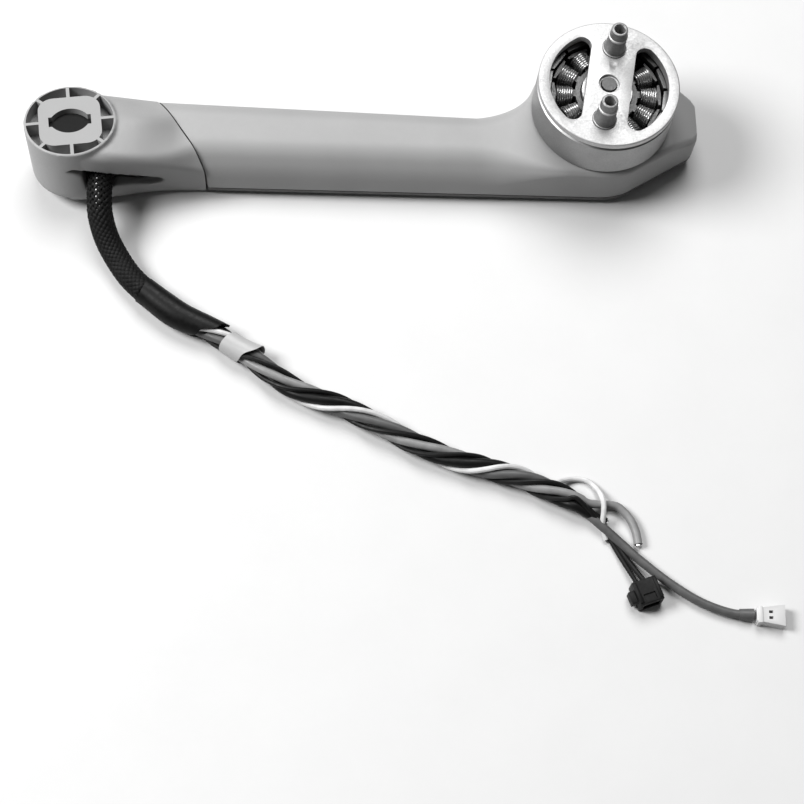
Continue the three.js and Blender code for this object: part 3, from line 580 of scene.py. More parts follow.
def edge_lines(inset):
    """The front and back edges of arm and pod from above, drawn inward by inset, along +X."""
    radius = POD_RADIUS - inset
    nose = NOSE_X - inset

    def on_pod(degrees):
        angle = math.radians(degrees)
        return (MOTOR_X + radius * math.cos(angle), MOTOR_Y + radius * math.sin(angle))

    start = (FILLET_X, ARM_BACK_END - inset)
    bend = (MOTOR_X - radius - 0.9, ARM_BACK_END + 1.0 - inset)
    end = on_pod(FILLET_ANGLE)
    fillet = [tuple((1 - t) ** 2 * a + 2 * t * (1 - t) * b + t * t * c for a, b, c in zip(start, bend, end))
              for t in steps(0, 1, 24)]
    front = [(0, ARM_FRONT + inset), (MOTOR_X - 3, ARM_FRONT + inset)]
    front += [on_pod(a) for a in steps(-88, -66, 10)]
    front += [(nose - NOSE_ROUND, NOSE_FRONT - 0.5 + inset * 0.5), (nose, NOSE_FRONT + 0.6 + inset * 0.5)]
    back = [(0, ARM_BACK_START - inset), *fillet, *[on_pod(a) for a in steps(FILLET_ANGLE, 66, 46)[1:]]]
    back += [(nose - NOSE_ROUND, NOSE_BACK + 0.5 - inset * 0.5), (nose, NOSE_BACK - 0.6 - inset * 0.5)]
    return front, back


def plan_shape(inset, front_x, back_x=None):
    back_x = front_x if back_x is None else back_x
    front, back = edge_lines(inset)
    return ([(front_x, along(front, front_x)[0])] + [p for p in front if p[0] > front_x]
            + [p for p in back if p[0] > back_x][::-1] + [(back_x, along(back, back_x)[0])])


def rounded(corners, x, pieces):
    """A section's corners rounded by short arcs, so that every section has the same point count."""
    made = []
    for i, (y, z, radius) in enumerate(corners):
        here = Vector((y, z))
        to_before = Vector(corners[i - 1][:2]) - here
        to_after = Vector(corners[(i + 1) % len(corners)][:2]) - here
        reach = min(radius, to_before.length * 0.45, to_after.length * 0.45)
        start = here + to_before.normalized() * reach
        end = here + to_after.normalized() * reach
        for t in steps(0, 1, pieces):
            p = start * (1 - t) ** 2 + here * 2 * t * (1 - t) + end * t * t
            made.append((x, p.x, p.y))
    return made


def arm_section(x, inset, foot_z, pieces=7):
    front, back = edge_lines(inset)
    front_y, back_y = along(front, x)[0], along(back, x)[0]
    climb = smooth(*CLIMB, x)
    nose = max(0.0, x - SLOPE_X) * SLOPE
    top = mix(along(TOP_LINE, x)[0], POD_TOP, climb) - nose - inset
    wall_top = mix(WALL_TOP - inset * 0.4, top - POD_EDGE, climb)
    lean = mix(FRONT_LEAN, 0, climb)
    foot_lean = lean * (foot_z - SPLIT_Z) / (wall_top - SPLIT_Z)
    return rounded([
        (front_y + foot_lean, foot_z, 0.15),
        (back_y, foot_z, 0.15),
        (back_y, top - mix(BACK_DROP, POD_EDGE, climb), mix(2.4, 0.5, climb)),
        (back_y - mix(BACK_BEVEL, POD_EDGE, climb), top, mix(2.0, 0.5, climb)),
        (front_y + mix(FRONT_BEVEL, POD_EDGE, climb), top, mix(2.4, 0.5, climb)),
        (front_y + lean, wall_top, mix(2.4, 0.5, climb)),
    ], x, pieces)


def arm_loft(stations, inset, foot_z, pieces=7):
    return stack([arm_section(x, inset, foot_z, pieces) for x in stations])


def beside_seam(side, offset):
    """The room on one side of the oblique seam: +1 is the motor's side, -1 the root's."""
    (bx, by), (fx, fy) = SEAM_BACK, SEAM_FRONT
    slope = (fx - bx) / (fy - by)
    outline = [(bx + offset + slope * 40, by + 40), (side * 200, by + 40), (side * 200, fy - 40),
               (fx + offset - slope * 40, fy - 40)]
    return prism(outline, -3, 40)


# ---------------------------------------------------------------- hinge root
HINGE_TOP = 15.5
HINGE_LEAN = Vector((math.tan(math.radians(-3.0)), math.tan(math.radians(10.2)), 1.0)).normalized()
UPRIGHT = Vector((0, 0, 1))
HINGE = Matrix.Translation((0, 0, HINGE_TOP)) @ UPRIGHT.rotation_difference(HINGE_LEAN).to_matrix().to_4x4()
PATTERN = 6.5
HINGE_HEIGHT = 14.25
HINGE_RADIUS = 8.8
FOOT_RADIUS = 8.5
FOOT_ROUND = 1.8
POCKET_RADIUS = 8.45
POCKET_DEPTH = 3.2
SQUARE_SIDE = 12.0
SQUARE_ROUND = 3.0
RIB_WIDTH = 0.65
BORE_RADIUS = 4.13
BORE_OFFSET = 1.09
KEY_REACH = 4.1
KEY_HALF = 1.2
BORE_FLOOR = 12.3
HUB_RADIUS = 5.0
SHAFT_HOLE = 2.6
ROOT_FRONT = [
    (0, -8.6, 16.6), (4, -8.7, 15.7), (8, -8.6, 14.6), (12, -8.3, 13.5), (16, -7.8, 12.2),
    (20, -7.0, 10.4), (24, -6.2, 8.3), (27, -5.9, 7.0), (30, -5.9, 7.0),
]
ROOT_SHOULDER = [
    (0, -6.0, 16.5), (4, -6.9, 16.5), (8, -7.6, 16.0), (12, -7.3, 15.0), (15, -6.8, 14.0), (18, -5.9, 13.0),
    (21, -4.6, 12.1), (23.5, -3.0, 11.4), (25, -2.5, 11.0), (30, -2.5, 11.0),
]
ROOT_MIDDLE = [
    (0, 1.0, 15.3), (8, 1.0, 15.6), (12, 1.2, 15.4), (14, 1.4, 15.0), (16, 1.8, 14.2), (18, 2.2, 13.1),
    (20, 2.6, 11.8), (21.3, 2.6, 11.0), (30, 2.6, 11.0),
]
ROOT_BACK = [
    (0, 7.2, 14.2), (3, 7.0, 14.3), (6, 6.8, 13.9), (9, 6.6, 13.2), (12, 6.4, 12.3), (15, 6.3, 11.5),
    (17.8, 6.2, 11.0), (30, 6.0, 11.0),
]
ROOT_BACK_EDGE = [(0, 8.3, 11.9), (6, 8.5, 11.4), (12, 8.7, 10.4), (18, 8.7, 9.5), (30, 8.5, 9.3)]
ROOT_FOOT = [
    (0, -10.8, 2.1, 5.8, 0.1), (4, -10.5, 1.9, 6.2, 0.1), (8, -9.5, 1.3, 7.0, 0.0), (12, -8.3, 0.7, 7.7, 0.0),
    (17, -7.1, 0.2, 8.4, 0.0), (22, -6.8, 0.0, 8.5, 0.0), (30, -6.8, 0.0, 8.4, 0.0),
]
SLOT = [
    (-1.4, 12.1), (1.0, 11.4), (2.6, 10.4), (3.2, 6.0), (8.2, 5.8), (8.8, 6.5), (15.5, 4.9), (17.3, 5.1),
    (18.0, 5.9), (17.4, 7.0), (13.0, 8.8), (9.0, 10.2), (5.6, 11.3), (1.0, 12.5),
]
SKIN_GROWTH = 0.15  # the skin is drawn this much too large, since evening it out wears its edges down
ROOT_SCREWS = [(25.0, 3.6), (30.6, -2.4)]
COVER_SCREWS = [(46, 0), (76, -0.4), (92, -3.0), (104.6, 18.6)]
MOTOR_SCREWS = [(8.0 * math.cos(math.radians(a)), 8.0 * math.sin(math.radians(a))) for a in (40, 160, 280)]
LEAD_HOLE = (-8.2, -2.0, 1.7)


def on_hinge(geometry):
    """Placed in the hinge's leaning frame, whose origin is the middle of the ring's top."""
    return moved(geometry, HINGE)


def root_section(x):
    foot_y, foot_z, heel_y, heel_z = eased(ROOT_FOOT, x)
    front, shoulder, middle, back, edge = [
        eased(rail, x) for rail in (ROOT_FRONT, ROOT_SHOULDER, ROOT_MIDDLE, ROOT_BACK, ROOT_BACK_EDGE)]
    return rounded([
        (foot_y, foot_z, 2.0), (heel_y, heel_z, 2.0), (*edge, 1.2), (*back, 1.0), (*middle, 1.6),
        (*shoulder, 1.6), (*front, 0.9),
    ], x, 4)


def barrel():
    foot = -HINGE_HEIGHT
    curve = [(FOOT_RADIUS - FOOT_ROUND * (1 - math.sin(a)), foot + FOOT_ROUND * (1 - math.cos(a)))
             for a in steps(0, math.pi / 2, 8)]
    rim = HINGE_RADIUS + SKIN_GROWTH
    return on_hinge(turned([(0, foot), *curve, (rim, 0.05), (0, 0.05)], 128))


def keyed_outline():
    """Two shallow arcs that face each other, with a square key at either side."""
    start = math.asin((KEY_HALF + BORE_OFFSET) / BORE_RADIUS)
    curve = arc(BORE_RADIUS, start, math.pi - start, 28, 0.0, -BORE_OFFSET)
    top = [(KEY_REACH, KEY_HALF), *curve, (-KEY_REACH, KEY_HALF)]
    return top + [(-x, -y) for x, y in top]


def rounded_square(side, radius):
    half = side / 2 - radius
    made = []
    for quarter, (sx, sy) in enumerate(((1, 1), (-1, 1), (-1, -1), (1, -1))):
        made += arc(radius, quarter * math.pi / 2, (quarter + 1) * math.pi / 2, 8, sx * half, sy * half)
    return made


def root_hollow():
    """The room inside the root, open to the arm."""
    sections = []
    for x in steps(3.2, 36, 16):
        roof = min(10.6, along(ROOT_BACK, x)[1] - 2.9, along(ROOT_FRONT, x)[1] + 0.9)
        front = along(ROOT_FRONT, x)[0] + 2.0
        sections.append(rounded([
            (front, 4.6, 0.8), (4.4, 4.6, 0.8), (4.4, roof, 1.0), (front + 2.2, roof, 1.0), (front, 6.4, 0.6),
        ], x, 3))
    return stack(sections)


def cable_slot():
    """The cable's way out through the front wall."""
    return moved(prism(SLOT, -14, -6), Matrix(((1, 0, 0, 0), (0, 0, 1, 0), (0, 1, 0, 0), (0, 0, 0, 1))))


def pocket_rings():
    """The pockets round the rounded square, parted by eight ribs."""
    rib = block(-10, 10, -RIB_WIDTH / 2, RIB_WIDTH / 2, -POCKET_DEPTH - 1, 2)
    ribs = [spun(rib, angle) for angle in (0, 45, 90, 135)]
    square = prism(rounded_square(SQUARE_SIDE, SQUARE_ROUND), -POCKET_DEPTH - 1, 2)
    pockets = cut(rod(POCKET_RADIUS, -POCKET_DEPTH, 1, 96), square, *ribs)
    pockets.data.transform(HINGE @ Matrix.Rotation(math.radians(PATTERN), 4, "Z"))
    return pockets


def evened(made, cell, passes):
    """The solid's skin made even, so that its joins blend softly."""
    remesh = made.modifiers.new("even", "REMESH")
    remesh.mode = "VOXEL"
    remesh.voxel_size = cell
    soften = made.modifiers.new("soften", "SMOOTH")
    soften.factor = 0.5
    soften.iterations = passes
    return applied(made)


def add_root():
    skin = join(barrel(), stack([root_section(x) for x in steps(0, 34, 68)]))
    cut(skin, root_hollow(), cable_slot())
    join(skin, on_hinge(rod(HUB_RADIUS, -HINGE_HEIGHT + 0.6, -POCKET_DEPTH, 64)))
    evened(skin, 0.27, 8)
    keep(skin, beside_seam(-1, -0.18))
    join(skin, cut(arm_loft(steps(17, 33.5, 6), WALL + GAP, 2.8), root_hollow()))
    cut(skin, pocket_rings(), on_hinge(spun(prism(keyed_outline(), -BORE_FLOOR, 1), PATTERN)),
        on_hinge(rod(SHAFT_HOLE, -HINGE_HEIGHT - 2, 0, 48)),
        *[rod(1.0, 1, 7.0, 24, x, y) for x, y in ROOT_SCREWS])
    released("root_moulding", skin, "shell", "arm", "shell_plastic", ["hinge_root"], 38)


# ---------------------------------------------------------------- arm shell and lower cover
def add_shell():
    stations = (steps(10, 80, 28) + steps(80, 89, 18)[1:] + steps(89, 92, 14)[1:] + steps(92, 105, 26)[1:]
                + steps(105, 123.5, 26)[1:] + [123.8, 124.1, 124.4])
    skin = keep(arm_loft(stations, 0, SPLIT_Z), beside_seam(1, GAP))
    cut(skin, arm_loft([5, 42, 80, *steps(82, 91, 9)], WALL + 0.3, 1, 4),
        prism(plan_shape(WALL, 84), 1, ROOF_UNDER))
    join(skin, rod(SEAT_RADIUS + 0.9, ROOF_UNDER, SEAT_FLOOR - 0.05, 96, MOTOR_X, MOTOR_Y),
         *[rod(1.9, SPLIT_Z, 9.6, 32, x, y) for x, y in COVER_SCREWS[:3]],
         rod(1.9, SPLIT_Z, ROOF_UNDER + 0.6, 32, *COVER_SCREWS[3]))
    cut(skin, rod(SEAT_RADIUS, SEAT_FLOOR, 14, 96, MOTOR_X, MOTOR_Y), rod(5.7, 0, 14, 64, MOTOR_X, MOTOR_Y),
        rod(LEAD_HOLE[2], 0, 14, 32, MOTOR_X + LEAD_HOLE[0], MOTOR_Y + LEAD_HOLE[1]),
        *[rod(1.25, 5, 10, 24, MOTOR_X + x, MOTOR_Y + y) for x, y in MOTOR_SCREWS],
        *[rod(1.0, 0, 6.4, 24, x, y) for x, y in COVER_SCREWS])
    released("arm_moulding", skin, "shell", "arm", "shell_plastic", ["arm_shell"], 30)


LENS = (117.6, 121.4, 4.7, 10.6)


def add_cover():
    keel = 2.2
    rings = []
    for angle in steps(0, math.pi / 2, 8):
        outline = plan_shape(keel * (1 - math.sin(angle)), 8)
        rings.append([(x, y, keel * (1 - math.cos(angle))) for x, y in outline])
    rings.append([(x, y, COVER_TOP) for x, y in plan_shape(0, 8)])
    tray = keep(stack(rings), beside_seam(1, GAP))
    cut(tray, prism(plan_shape(WALL, 4), COVER_FLOOR, 9))
    screws = COVER_SCREWS + ROOT_SCREWS
    join(tray, *[rod(2.3, 0.8, COVER_TOP, 32, x, y) for x, y in screws])
    x0, x1, y0, y1 = LENS
    cut(tray, *[rod(1.05, -1, 5, 24, x, y) for x, y in screws],
        *[rod(1.85, -1, 1.15, 32, x, y) for x, y in screws],
        block(x0 - FIT, x1 + FIT, y0 - FIT, y1 + FIT, -1, 3))
    # The cover's dark plastic is partly painted shade along the arm's underside edge.
    released("cover_moulding", tray, "cover", "arm", "cover_plastic", ["arm_lower_cover"], 35)


# ---------------------------------------------------------------- the motor's turning side
BELL_FRAME = Matrix.Translation((MOTOR_X, MOTOR_Y, 0)) @ Matrix.Rotation(math.radians(-9.8), 4, "Z")
BELL_TOP = 22.4
BELL_BOTTOM = 12.1
BELL_RADIUS = 14.0
BELL_PLATE = 1.5
BELL_GROOVE = 0.3
BELL_WALL = 1.1
WINDOW_RADIUS = 11.83
WINDOW_CORNER = 1.9
BRIDGE_HALF = 4.45
POST_OFFSET = 8.26
POST_HEIGHT = 6.75


def window_outline(side):
    cx = BRIDGE_HALF + WINDOW_CORNER
    cy = math.sqrt((WINDOW_RADIUS - WINDOW_CORNER) ** 2 - cx ** 2)
    lean = math.atan2(cy, cx)
    points = arc(WINDOW_CORNER, -math.pi, -lean, 12, cx, -cy)
    points += arc(WINDOW_RADIUS, -lean, lean, 40)[1:-1]
    points += arc(WINDOW_CORNER, lean, math.pi, 12, cx, cy)
    return [(x * side, y * side) for x, y in points]


def ball(radius, x, y, z):
    half = [(0, -radius), *arc(radius, -math.pi / 2, math.pi / 2, 24)[1:-1], (0, radius)]
    return moved(turned(half, 48), Matrix.Translation((x, y, z)))


def add_bell():
    under = BELL_TOP - BELL_PLATE
    round_off = [(BELL_RADIUS - 0.3 * (1 - math.cos(a)), BELL_TOP - 0.3 * (1 - math.sin(a)))
                 for a in steps(0, math.pi / 2, 5)]
    body = turned([
        (1.65, 19.8), (3.6, 19.8), (3.6, under), (12.0, under), (12.0, 20.0), (12.6, 20.0), (12.6, under),
        (BELL_RADIUS - 0.35, under), (BELL_RADIUS, under + 0.3), *round_off, (2.1, BELL_TOP),
        (2.0, BELL_TOP - 0.1), (2.0, BELL_TOP - 0.6), (1.65, BELL_TOP - 0.6),
    ], 144, closed=True)
    cap = cut(body, *[prism(window_outline(side), 18, 24) for side in (1, -1)])
    edge_rounded(cap, 0.14)
    cut(cap, *[rod(2.45, BELL_TOP - 0.35, 24, 48, 0, side * POST_OFFSET) for side in (1, -1)],
        *[rod(1.45, 18, 24, 32, 0, side * POST_OFFSET) for side in (1, -1)],
        ball(1.6, 0.2, 4.4, BELL_TOP + 1.4))
    cap.data.transform(BELL_FRAME)
    released("bell_plate", cap, "bell", "rotor", "bright_alloy", ["bell_cap"])
    inner = BELL_RADIUS - BELL_WALL
    high = under - BELL_GROOVE
    band = solid(turned([
        (inner, BELL_BOTTOM), (BELL_RADIUS - 0.2, BELL_BOTTOM), (BELL_RADIUS, BELL_BOTTOM + 0.2),
        (BELL_RADIUS, high - 0.25), (BELL_RADIUS - 0.35, high), (inner, high),
    ], 144, closed=True))
    band.data.transform(BELL_FRAME)
    released("bell_band", band, "flux", "rotor", "dark_steel", ["flux_ring"])


def add_post(side, replaced):
    """A slightly tapered hollow post with a bright collar and rim. The collar's brightness is partly its own
    brighter metal and partly painted highlight.
    """
    base, top = BELL_TOP, BELL_TOP + POST_HEIGHT
    profile = [
        (0, base - 1.2), (1.3, base - 1.2), (1.3, base - 0.2), (2.25, base - 0.2), (2.3, base - 0.1),
        (2.3, base + 0.2), (2.2, base + 0.3), (2.12, base + 0.36), (2.08, base + 0.8), (1.78, top - 2.6),
        (1.9, top - 2.45), (1.9, top - 2.1), (1.7, top - 1.95), (1.62, top - 0.25), (1.55, top - 0.06),
        (1.45, top), (1.15, top), (1.0, top - 0.15), (1.0, top - 5.0), (0, top - 5.0),
    ]
    post = solid(moved(turned(profile, 64), Matrix.Translation((0, side * POST_OFFSET, 0))))
    post.data.transform(BELL_FRAME)
    post = released("post_" + replaced[10:], post, "post", "rotor", "post_steel", [replaced])
    post.data.materials.append(LOOKS["bell"])
    # The foot and the collar band take the bright alloy; on the collar this is partly painted highlight.
    collar = place((0, 0, base + 0.33)).z
    band = (place((0, 0, top - 2.6)).z, place((0, 0, top - 1.95)).z)
    for face in post.data.polygons:
        if face.center.z < collar or band[0] < face.center.z < band[1]:
            face.material_index = 1


# ---------------------------------------------------------------- windings
TEETH = 12
COIL_TURNS = 7
COIL_IN, COIL_OUT = 6.95, 9.75
COIL_BOTTOM, COIL_TOP = 12.95, 19.25
COIL_HALF_IN, COIL_HALF_OUT = 1.2, 1.85
MAGNET_WIRE = 0.5


def closed_tube(line, radius, sides):
    """A tube round a closed line."""
    count = len(line)
    points = []
    for i, here in enumerate(line):
        tangent = (line[(i + 1) % count] - line[i - 1]).normalized()
        side = Vector((1, 0, 0))
        side = (side - tangent * side.dot(tangent)).normalized()
        up = side.cross(tangent)
        for k in range(sides):
            angle = 2 * math.pi * k / sides
            points.append(here + (side * math.cos(angle) + up * math.sin(angle)) * radius)
    return points, lattice(count, sides, looped=True)


def coil_turn(share, rng):
    """One turn of wire round a tooth that points along +X."""
    x = mix(COIL_IN, COIL_OUT, share)
    half = mix(COIL_HALF_IN, COIL_HALF_OUT, share) + rng.uniform(-0.04, 0.04)
    top = COIL_TOP + rng.uniform(-0.05, 0.12)
    line = []
    for quarter, middle in enumerate((top - half, top - half, COIL_BOTTOM + half, COIL_BOTTOM + half)):
        for y, z in arc(half, quarter * math.pi / 2, (quarter + 1) * math.pi / 2, 4, 0.0, middle):
            line.append(Vector((x, y, z)))
    return closed_tube(line, MAGNET_WIRE / 2, 8)


def add_windings():
    rng = random.Random(11)
    parts = []
    for tooth in range(TEETH):
        for k in range(COIL_TURNS):
            parts.append(spun(coil_turn(k / (COIL_TURNS - 1), rng), 360 * tooth / TEETH))
    circle = [Vector((7.3 * math.cos(a), 7.3 * math.sin(a), 13.0)) for a in steps(0, 2 * math.pi, 48)[:-1]]
    parts.append(closed_tube(circle, 0.3, 8))
    points, faces = moved(gather(parts), Matrix.Translation((MOTOR_X, MOTOR_Y, 0)))
    wound = new_object("motor_coils", points, faces, "enamel", 60)
    add_piece(wound, "arm", "enamel_wire", "stator_windings")


add_floor()
add_root()
add_shell()
add_cover()
add_bell()
add_post(1, "prop_post_far")
add_post(-1, "prop_post_near")
add_windings()


# ---------------------------------------------------------------- the harness
SLEEVE_ROUTE = [
    (6.1, -7.4, 8.5), (5.9, -9.4, 8.5), (5.8, -12.6, 8.0), (6.1, -15.8, 6.6), (7.3, -19.3, 4.3),
    (9.3, -22.8, 2.9), (11.9, -26.7, 2.6), (14.8, -29.8, 2.7),
]
SHRINK_ROUTE = [(15.3, -30.3, 2.9), (18.6, -32.9, 2.9), (22.4, -35.6, 2.9), (27.4, -38.1, 2.9)]
NECK_ROUTE = [(22.4, -35.6, 2.8), (27.4, -38.1, 2.7), (31.3, -40.6, 2.5)]
BUNDLE_ROUTE = [
    (35.9, -43.8, 2.45), (39.6, -46.8, 2.4), (43.4, -49.6, 2.4), (48.8, -52.0, 2.4), (54.6, -54.2, 2.4),
    (62.0, -58.2, 2.4), (69.8, -62.2, 2.4), (77.8, -65.0, 2.4), (85.8, -67.3, 2.4), (94.0, -70.8, 2.4),
    (101.0, -74.6, 2.3), (103.0, -75.9, 2.3),
]
GREY_TAIL = [
    (105.7, -80.2, 1.1), (109.0, -83.4, 1.1), (114.4, -87.9, 1.1),
    (119.9, -91.5, 1.1), (125.4, -93.6, 1.1), (129.8, -94.1, 1.3),
]
LOOP_TAIL = [
    (104.6, -72.5, 1.2), (106.4, -73.6, 1.0), (107.8, -75.5, 1.0), (108.6, -77.8, 1.0), (108.9, -80.2, 1.0),
]
BLACK_TAIL = [(101.2, -75.2, 1.4), (102.9, -76.0, 1.1)]
PAIR_LEFT = [(102.6, -77.3, 1.0), (104.0, -80.0, 0.7), (105.3, -82.6, 0.8), (107.9, -87.9, 1.7)]
PAIR_RIGHT = [(103.4, -77.6, 1.1), (104.9, -80.2, 0.75), (106.3, -82.8, 0.8), (109.3, -87.5, 1.7)]
SIDE_LOOP = [
    (93.2, -68.6, 2.2), (95.0, -67.6, 1.3), (97.1, -67.0, 0.7), (99.3, -67.1, 0.6), (101.0, -68.2, 0.6),
    (102.0, -70.0, 1.4), (102.4, -72.2, 2.6), (102.3, -74.4, 3.0), (102.2, -76.8, 1.6), (102.9, -79.2, 0.6),
]
# How many turns the bundle has made at a distance along it, in millimetres from the tape.
TWIST = [(-16.0, -1.0), (15.7, 0.0), (46.0, 1.0), (70.5, 2.0), (80.0, 2.35)]
VIEWED_SIDE = 114.0  # degrees round the bundle, from the far side over the top


def turns_at(distance):
    for (a, low), (b, high) in zip(TWIST, TWIST[1:]):
        if distance <= b:
            break
    return low + (high - low) * (distance - a) / (b - a)


class Spine:
    """The middle line of the twisted bundle, with its distances from the tape."""

    def __init__(self):
        self.line = catmull(NECK_ROUTE + BUNDLE_ROUTE, 0.5)
        lengths = distances(self.line)
        start = Vector(BUNDLE_ROUTE[0])
        nearest = min(range(len(self.line)), key=lambda i: (self.line[i] - start).length)
        self.distances = [length - lengths[nearest] for length in lengths]
        self.tangents = directions(self.line)

    def strand(self, offset, reach, start, end):
        """A strand that passes the viewed side at every whole turn past its offset."""
        made = []
        for point, tangent, distance in zip(self.line, self.tangents, self.distances):
            if start <= distance <= end:
                angle = math.radians(VIEWED_SIDE - 360 * (turns_at(distance) - offset))
                far = Vector((-tangent.y, tangent.x, 0)).normalized()
                up = tangent.cross(far) * (1 if tangent.cross(far).z > 0 else -1)
                made.append(point + (far * math.cos(angle) + up * math.sin(angle)) * reach)
        return made


SPINE = Spine()
STRAND_START = SPINE.distances[0]
# name, place in the twist in turns, distance from the middle, diameter, end, tail, look, far end
STRANDS = [
    ("wire_black", 0.0, 1.12, 1.95, 70.0, BLACK_TAIL, "black", "bare"),
    ("wire_white", 0.167, 1.78, 1.05, 60.5, SIDE_LOOP, "white", "bare"),
    ("wire_grey", 0.333, 1.12, 1.75, 73.0, GREY_TAIL, "grey", "connector"),
    ("wire_black_thin", 0.5, 1.75, 1.0, 70.0, PAIR_RIGHT, "black_thin", "connector"),
    ("wire_pale", 0.667, 1.12, 1.65, 72.0, LOOP_TAIL, "pale", "bare"),
    ("wire_black_slim", 0.833, 1.78, 0.9, 69.0, PAIR_LEFT, "black_thin", "connector"),
]


def wire_end(line, diameter):
    """A short stub of tinned strands at the wire's cut end."""
    tangent = (line[-1] - line[-3]).normalized()
    stub = [line[-1] - tangent * 0.3, line[-1] + tangent * 0.05, line[-1] + tangent * 0.35]
    return tube_geometry(stub, diameter * 0.3, 10)


def add_strands():
    made = {}
    for name, offset, reach, diameter, end, tail, look, far_end in STRANDS:
        helix = SPINE.strand(offset, reach, STRAND_START, end)
        joined = helix[::4] + [Vector(p) for p in tail]
        line = catmull(joined, 0.45)
        points, faces = tube_geometry(line, diameter / 2, 12 if diameter > 1.5 else 10)
        piece = new_object(name, points, faces, look)
        made[name] = (piece, line, diameter, far_end)
    return made


# ---------------------------------------------------------------- sleeve, shrink and tape
class Run:
    """A line with its distances, for skins whose ends aren't square."""

    def __init__(self, route):
        self.line = catmull(route, 0.4)
        self.tangents = directions(self.line)
        self.length = distances(self.line)[-1]

    def frame(self, distance):
        """Point, near-side direction and up direction at a distance, past either end as well."""
        last = len(self.line) - 1
        at = distance / self.length * last
        i = min(last - 1, max(0, math.floor(at)))
        point = self.line[i] + (self.line[i + 1] - self.line[i]) * (at - i)
        tangent = self.tangents[i].lerp(self.tangents[i + 1], min(1.0, max(0.0, at - i))).normalized()
        near = Vector((tangent.y, -tangent.x, 0)).normalized()
        return point, near, near.cross(tangent)

    def skin(self, start, end, radius, thickness, around=48, steps_along=40):
        """A hollow skin. start and end give a distance, and radius a size, for an angle round the line:
        0 is the near side and a quarter turn is the top."""
        outer, inner = [], []
        for i in range(steps_along + 1):
            share = i / steps_along
            for k in range(around):
                angle = 2 * math.pi * k / around
                distance = mix(start(angle), end(angle), share)
                point, near, up = self.frame(distance)
                way = near * math.cos(angle) + up * math.sin(angle)
                reach = radius(angle, share)
                outer.append(point + way * reach)
                inner.append(point + way * (reach - thickness))
        total = len(outer)
        last = steps_along * around
        faces = lattice(steps_along + 1, around)
        faces += [tuple(i + total for i in face[::-1]) for face in faces]
        for k in range(around):
            m = (k + 1) % around
            faces.append((k, k + total, m + total, m))
            faces.append((last + k, last + m, last + m + total, last + k + total))
        return outer + inner, faces


CORE_RADIUS = 1.72
PALE_WIRE_RADIUS = 0.5
PALE_WIRE_REACH = (1.0, 10.5)
PALE_WIRE_ANGLE = 72
PALE_WIRE_TURN = 1.6  # degrees in each millimetre
SHRINK_RADIUS = 2.72
SHRINK_TAPER = 0.2
SHRINK_WALL = 0.35
CARRIERS = 12
BRAID_PITCH = 13.0
RIBBON_WIDTH = 0.98
RIBBON_THICKNESS = 0.16
BRAID_RADIUS = 2.3
sleeve_run = Run(SLEEVE_ROUTE + SHRINK_ROUTE[:1])


def ribbon_width(distance):
    """The weave is pulled open where the sleeve bends out of the slot."""
    return RIBBON_WIDTH * mix(0.6, 1.0, smooth(5, 13, distance))


def braid_ribbon(number, hand):
    """One ribbon of the woven sleeve, passing over and under those of the other hand."""
    count = 150
    points = []
    for i in range(count + 1):
        distance = sleeve_run.length * i / count
        turn = distance / BRAID_PITCH
        angle = 2 * math.pi * (hand * turn + number / CARRIERS)
        weave = math.cos(2 * math.pi * turn * CARRIERS)
        point, near, up = sleeve_run.frame(distance)
        forward = near.cross(up) * -1
        way = near * math.cos(angle) + up * math.sin(angle)
        across = up * math.cos(angle) - near * math.sin(angle)
        slope = 2 * math.pi * BRAID_RADIUS / BRAID_PITCH
        side = (across - forward * (hand * slope)).normalized()
        reach = BRAID_RADIUS + hand * weave * 0.11
        width = ribbon_width(distance)
        for share, lift in ((-0.5, -0.5), (-0.3, 0.5), (0.3, 0.5), (0.5, -0.5)):
            points.append(point + way * (reach + lift * RIBBON_THICKNESS) + side * (share * width))
    faces = lattice(count + 1, 4)
    faces.append((0, 1, 2, 3))
    faces.append(tuple(range(count * 4, count * 4 + 4))[::-1])
    return points, faces


def add_sleeve():
    """The wires inside as one dark core with a pale one beside them, the braid and the heat shrink."""
    route = SLEEVE_ROUTE + SHRINK_ROUTE
    core_line = catmull(route, 0.5)
    core = new_object("sleeve_core", *tube_geometry(core_line, CORE_RADIUS, 24), "black")
    pale_line = []
    for distance in steps(*PALE_WIRE_REACH, 30):
        point, near, up = sleeve_run.frame(distance)
        angle = math.radians(PALE_WIRE_ANGLE + distance * PALE_WIRE_TURN)
        pale_line.append(point + (near * math.cos(angle) + up * math.sin(angle)) * CORE_RADIUS)
    inside_geometry = tube_geometry(pale_line, PALE_WIRE_RADIUS, 12)
    inside = new_object("sleeve_pale_wire", *inside_geometry, "nylon_white")
    ribbons = [braid_ribbon(n, hand) for hand in (1, -1) for n in range(CARRIERS)]
    braid = new_object("sleeve_braid", *gather(ribbons), "braid", 50)
    rng = random.Random(5)
    lumps = [(rng.uniform(0, 6.28), rng.uniform(0, 1), rng.uniform(-0.14, 0.16)) for _ in range(14)]

    def shrink_radius(angle, share):
        size = SHRINK_RADIUS - SHRINK_TAPER * share ** 3
        for where, along_it, height in lumps:
            spread = (1 - math.cos(angle - where)) * 2.2 + (share - along_it) ** 2 * 18
            size += height * math.exp(-spread)
        return size

    def slanted_end(angle):
        ragged = 0.35 * math.sin(angle * 5) + 0.9 * math.sin(angle)
        return run.length + 0.3 - 2.6 * math.cos(angle) + ragged

    run = Run(SHRINK_ROUTE)
    shrink_geometry = run.skin(
        lambda angle: -0.5 + 0.25 * math.sin(angle * 2), slanted_end, shrink_radius, SHRINK_WALL)
    shrink = new_object("shrink_tube", *shrink_geometry, "shrink", 50)
    add_piece(core, "arm", "black_insulation")
    add_piece(inside, "arm", "light_insulation")
    add_piece(braid, "arm", "black_braid", "cable_sleeve")
    add_piece(shrink, "arm", "heat_shrink", "heat_shrink")


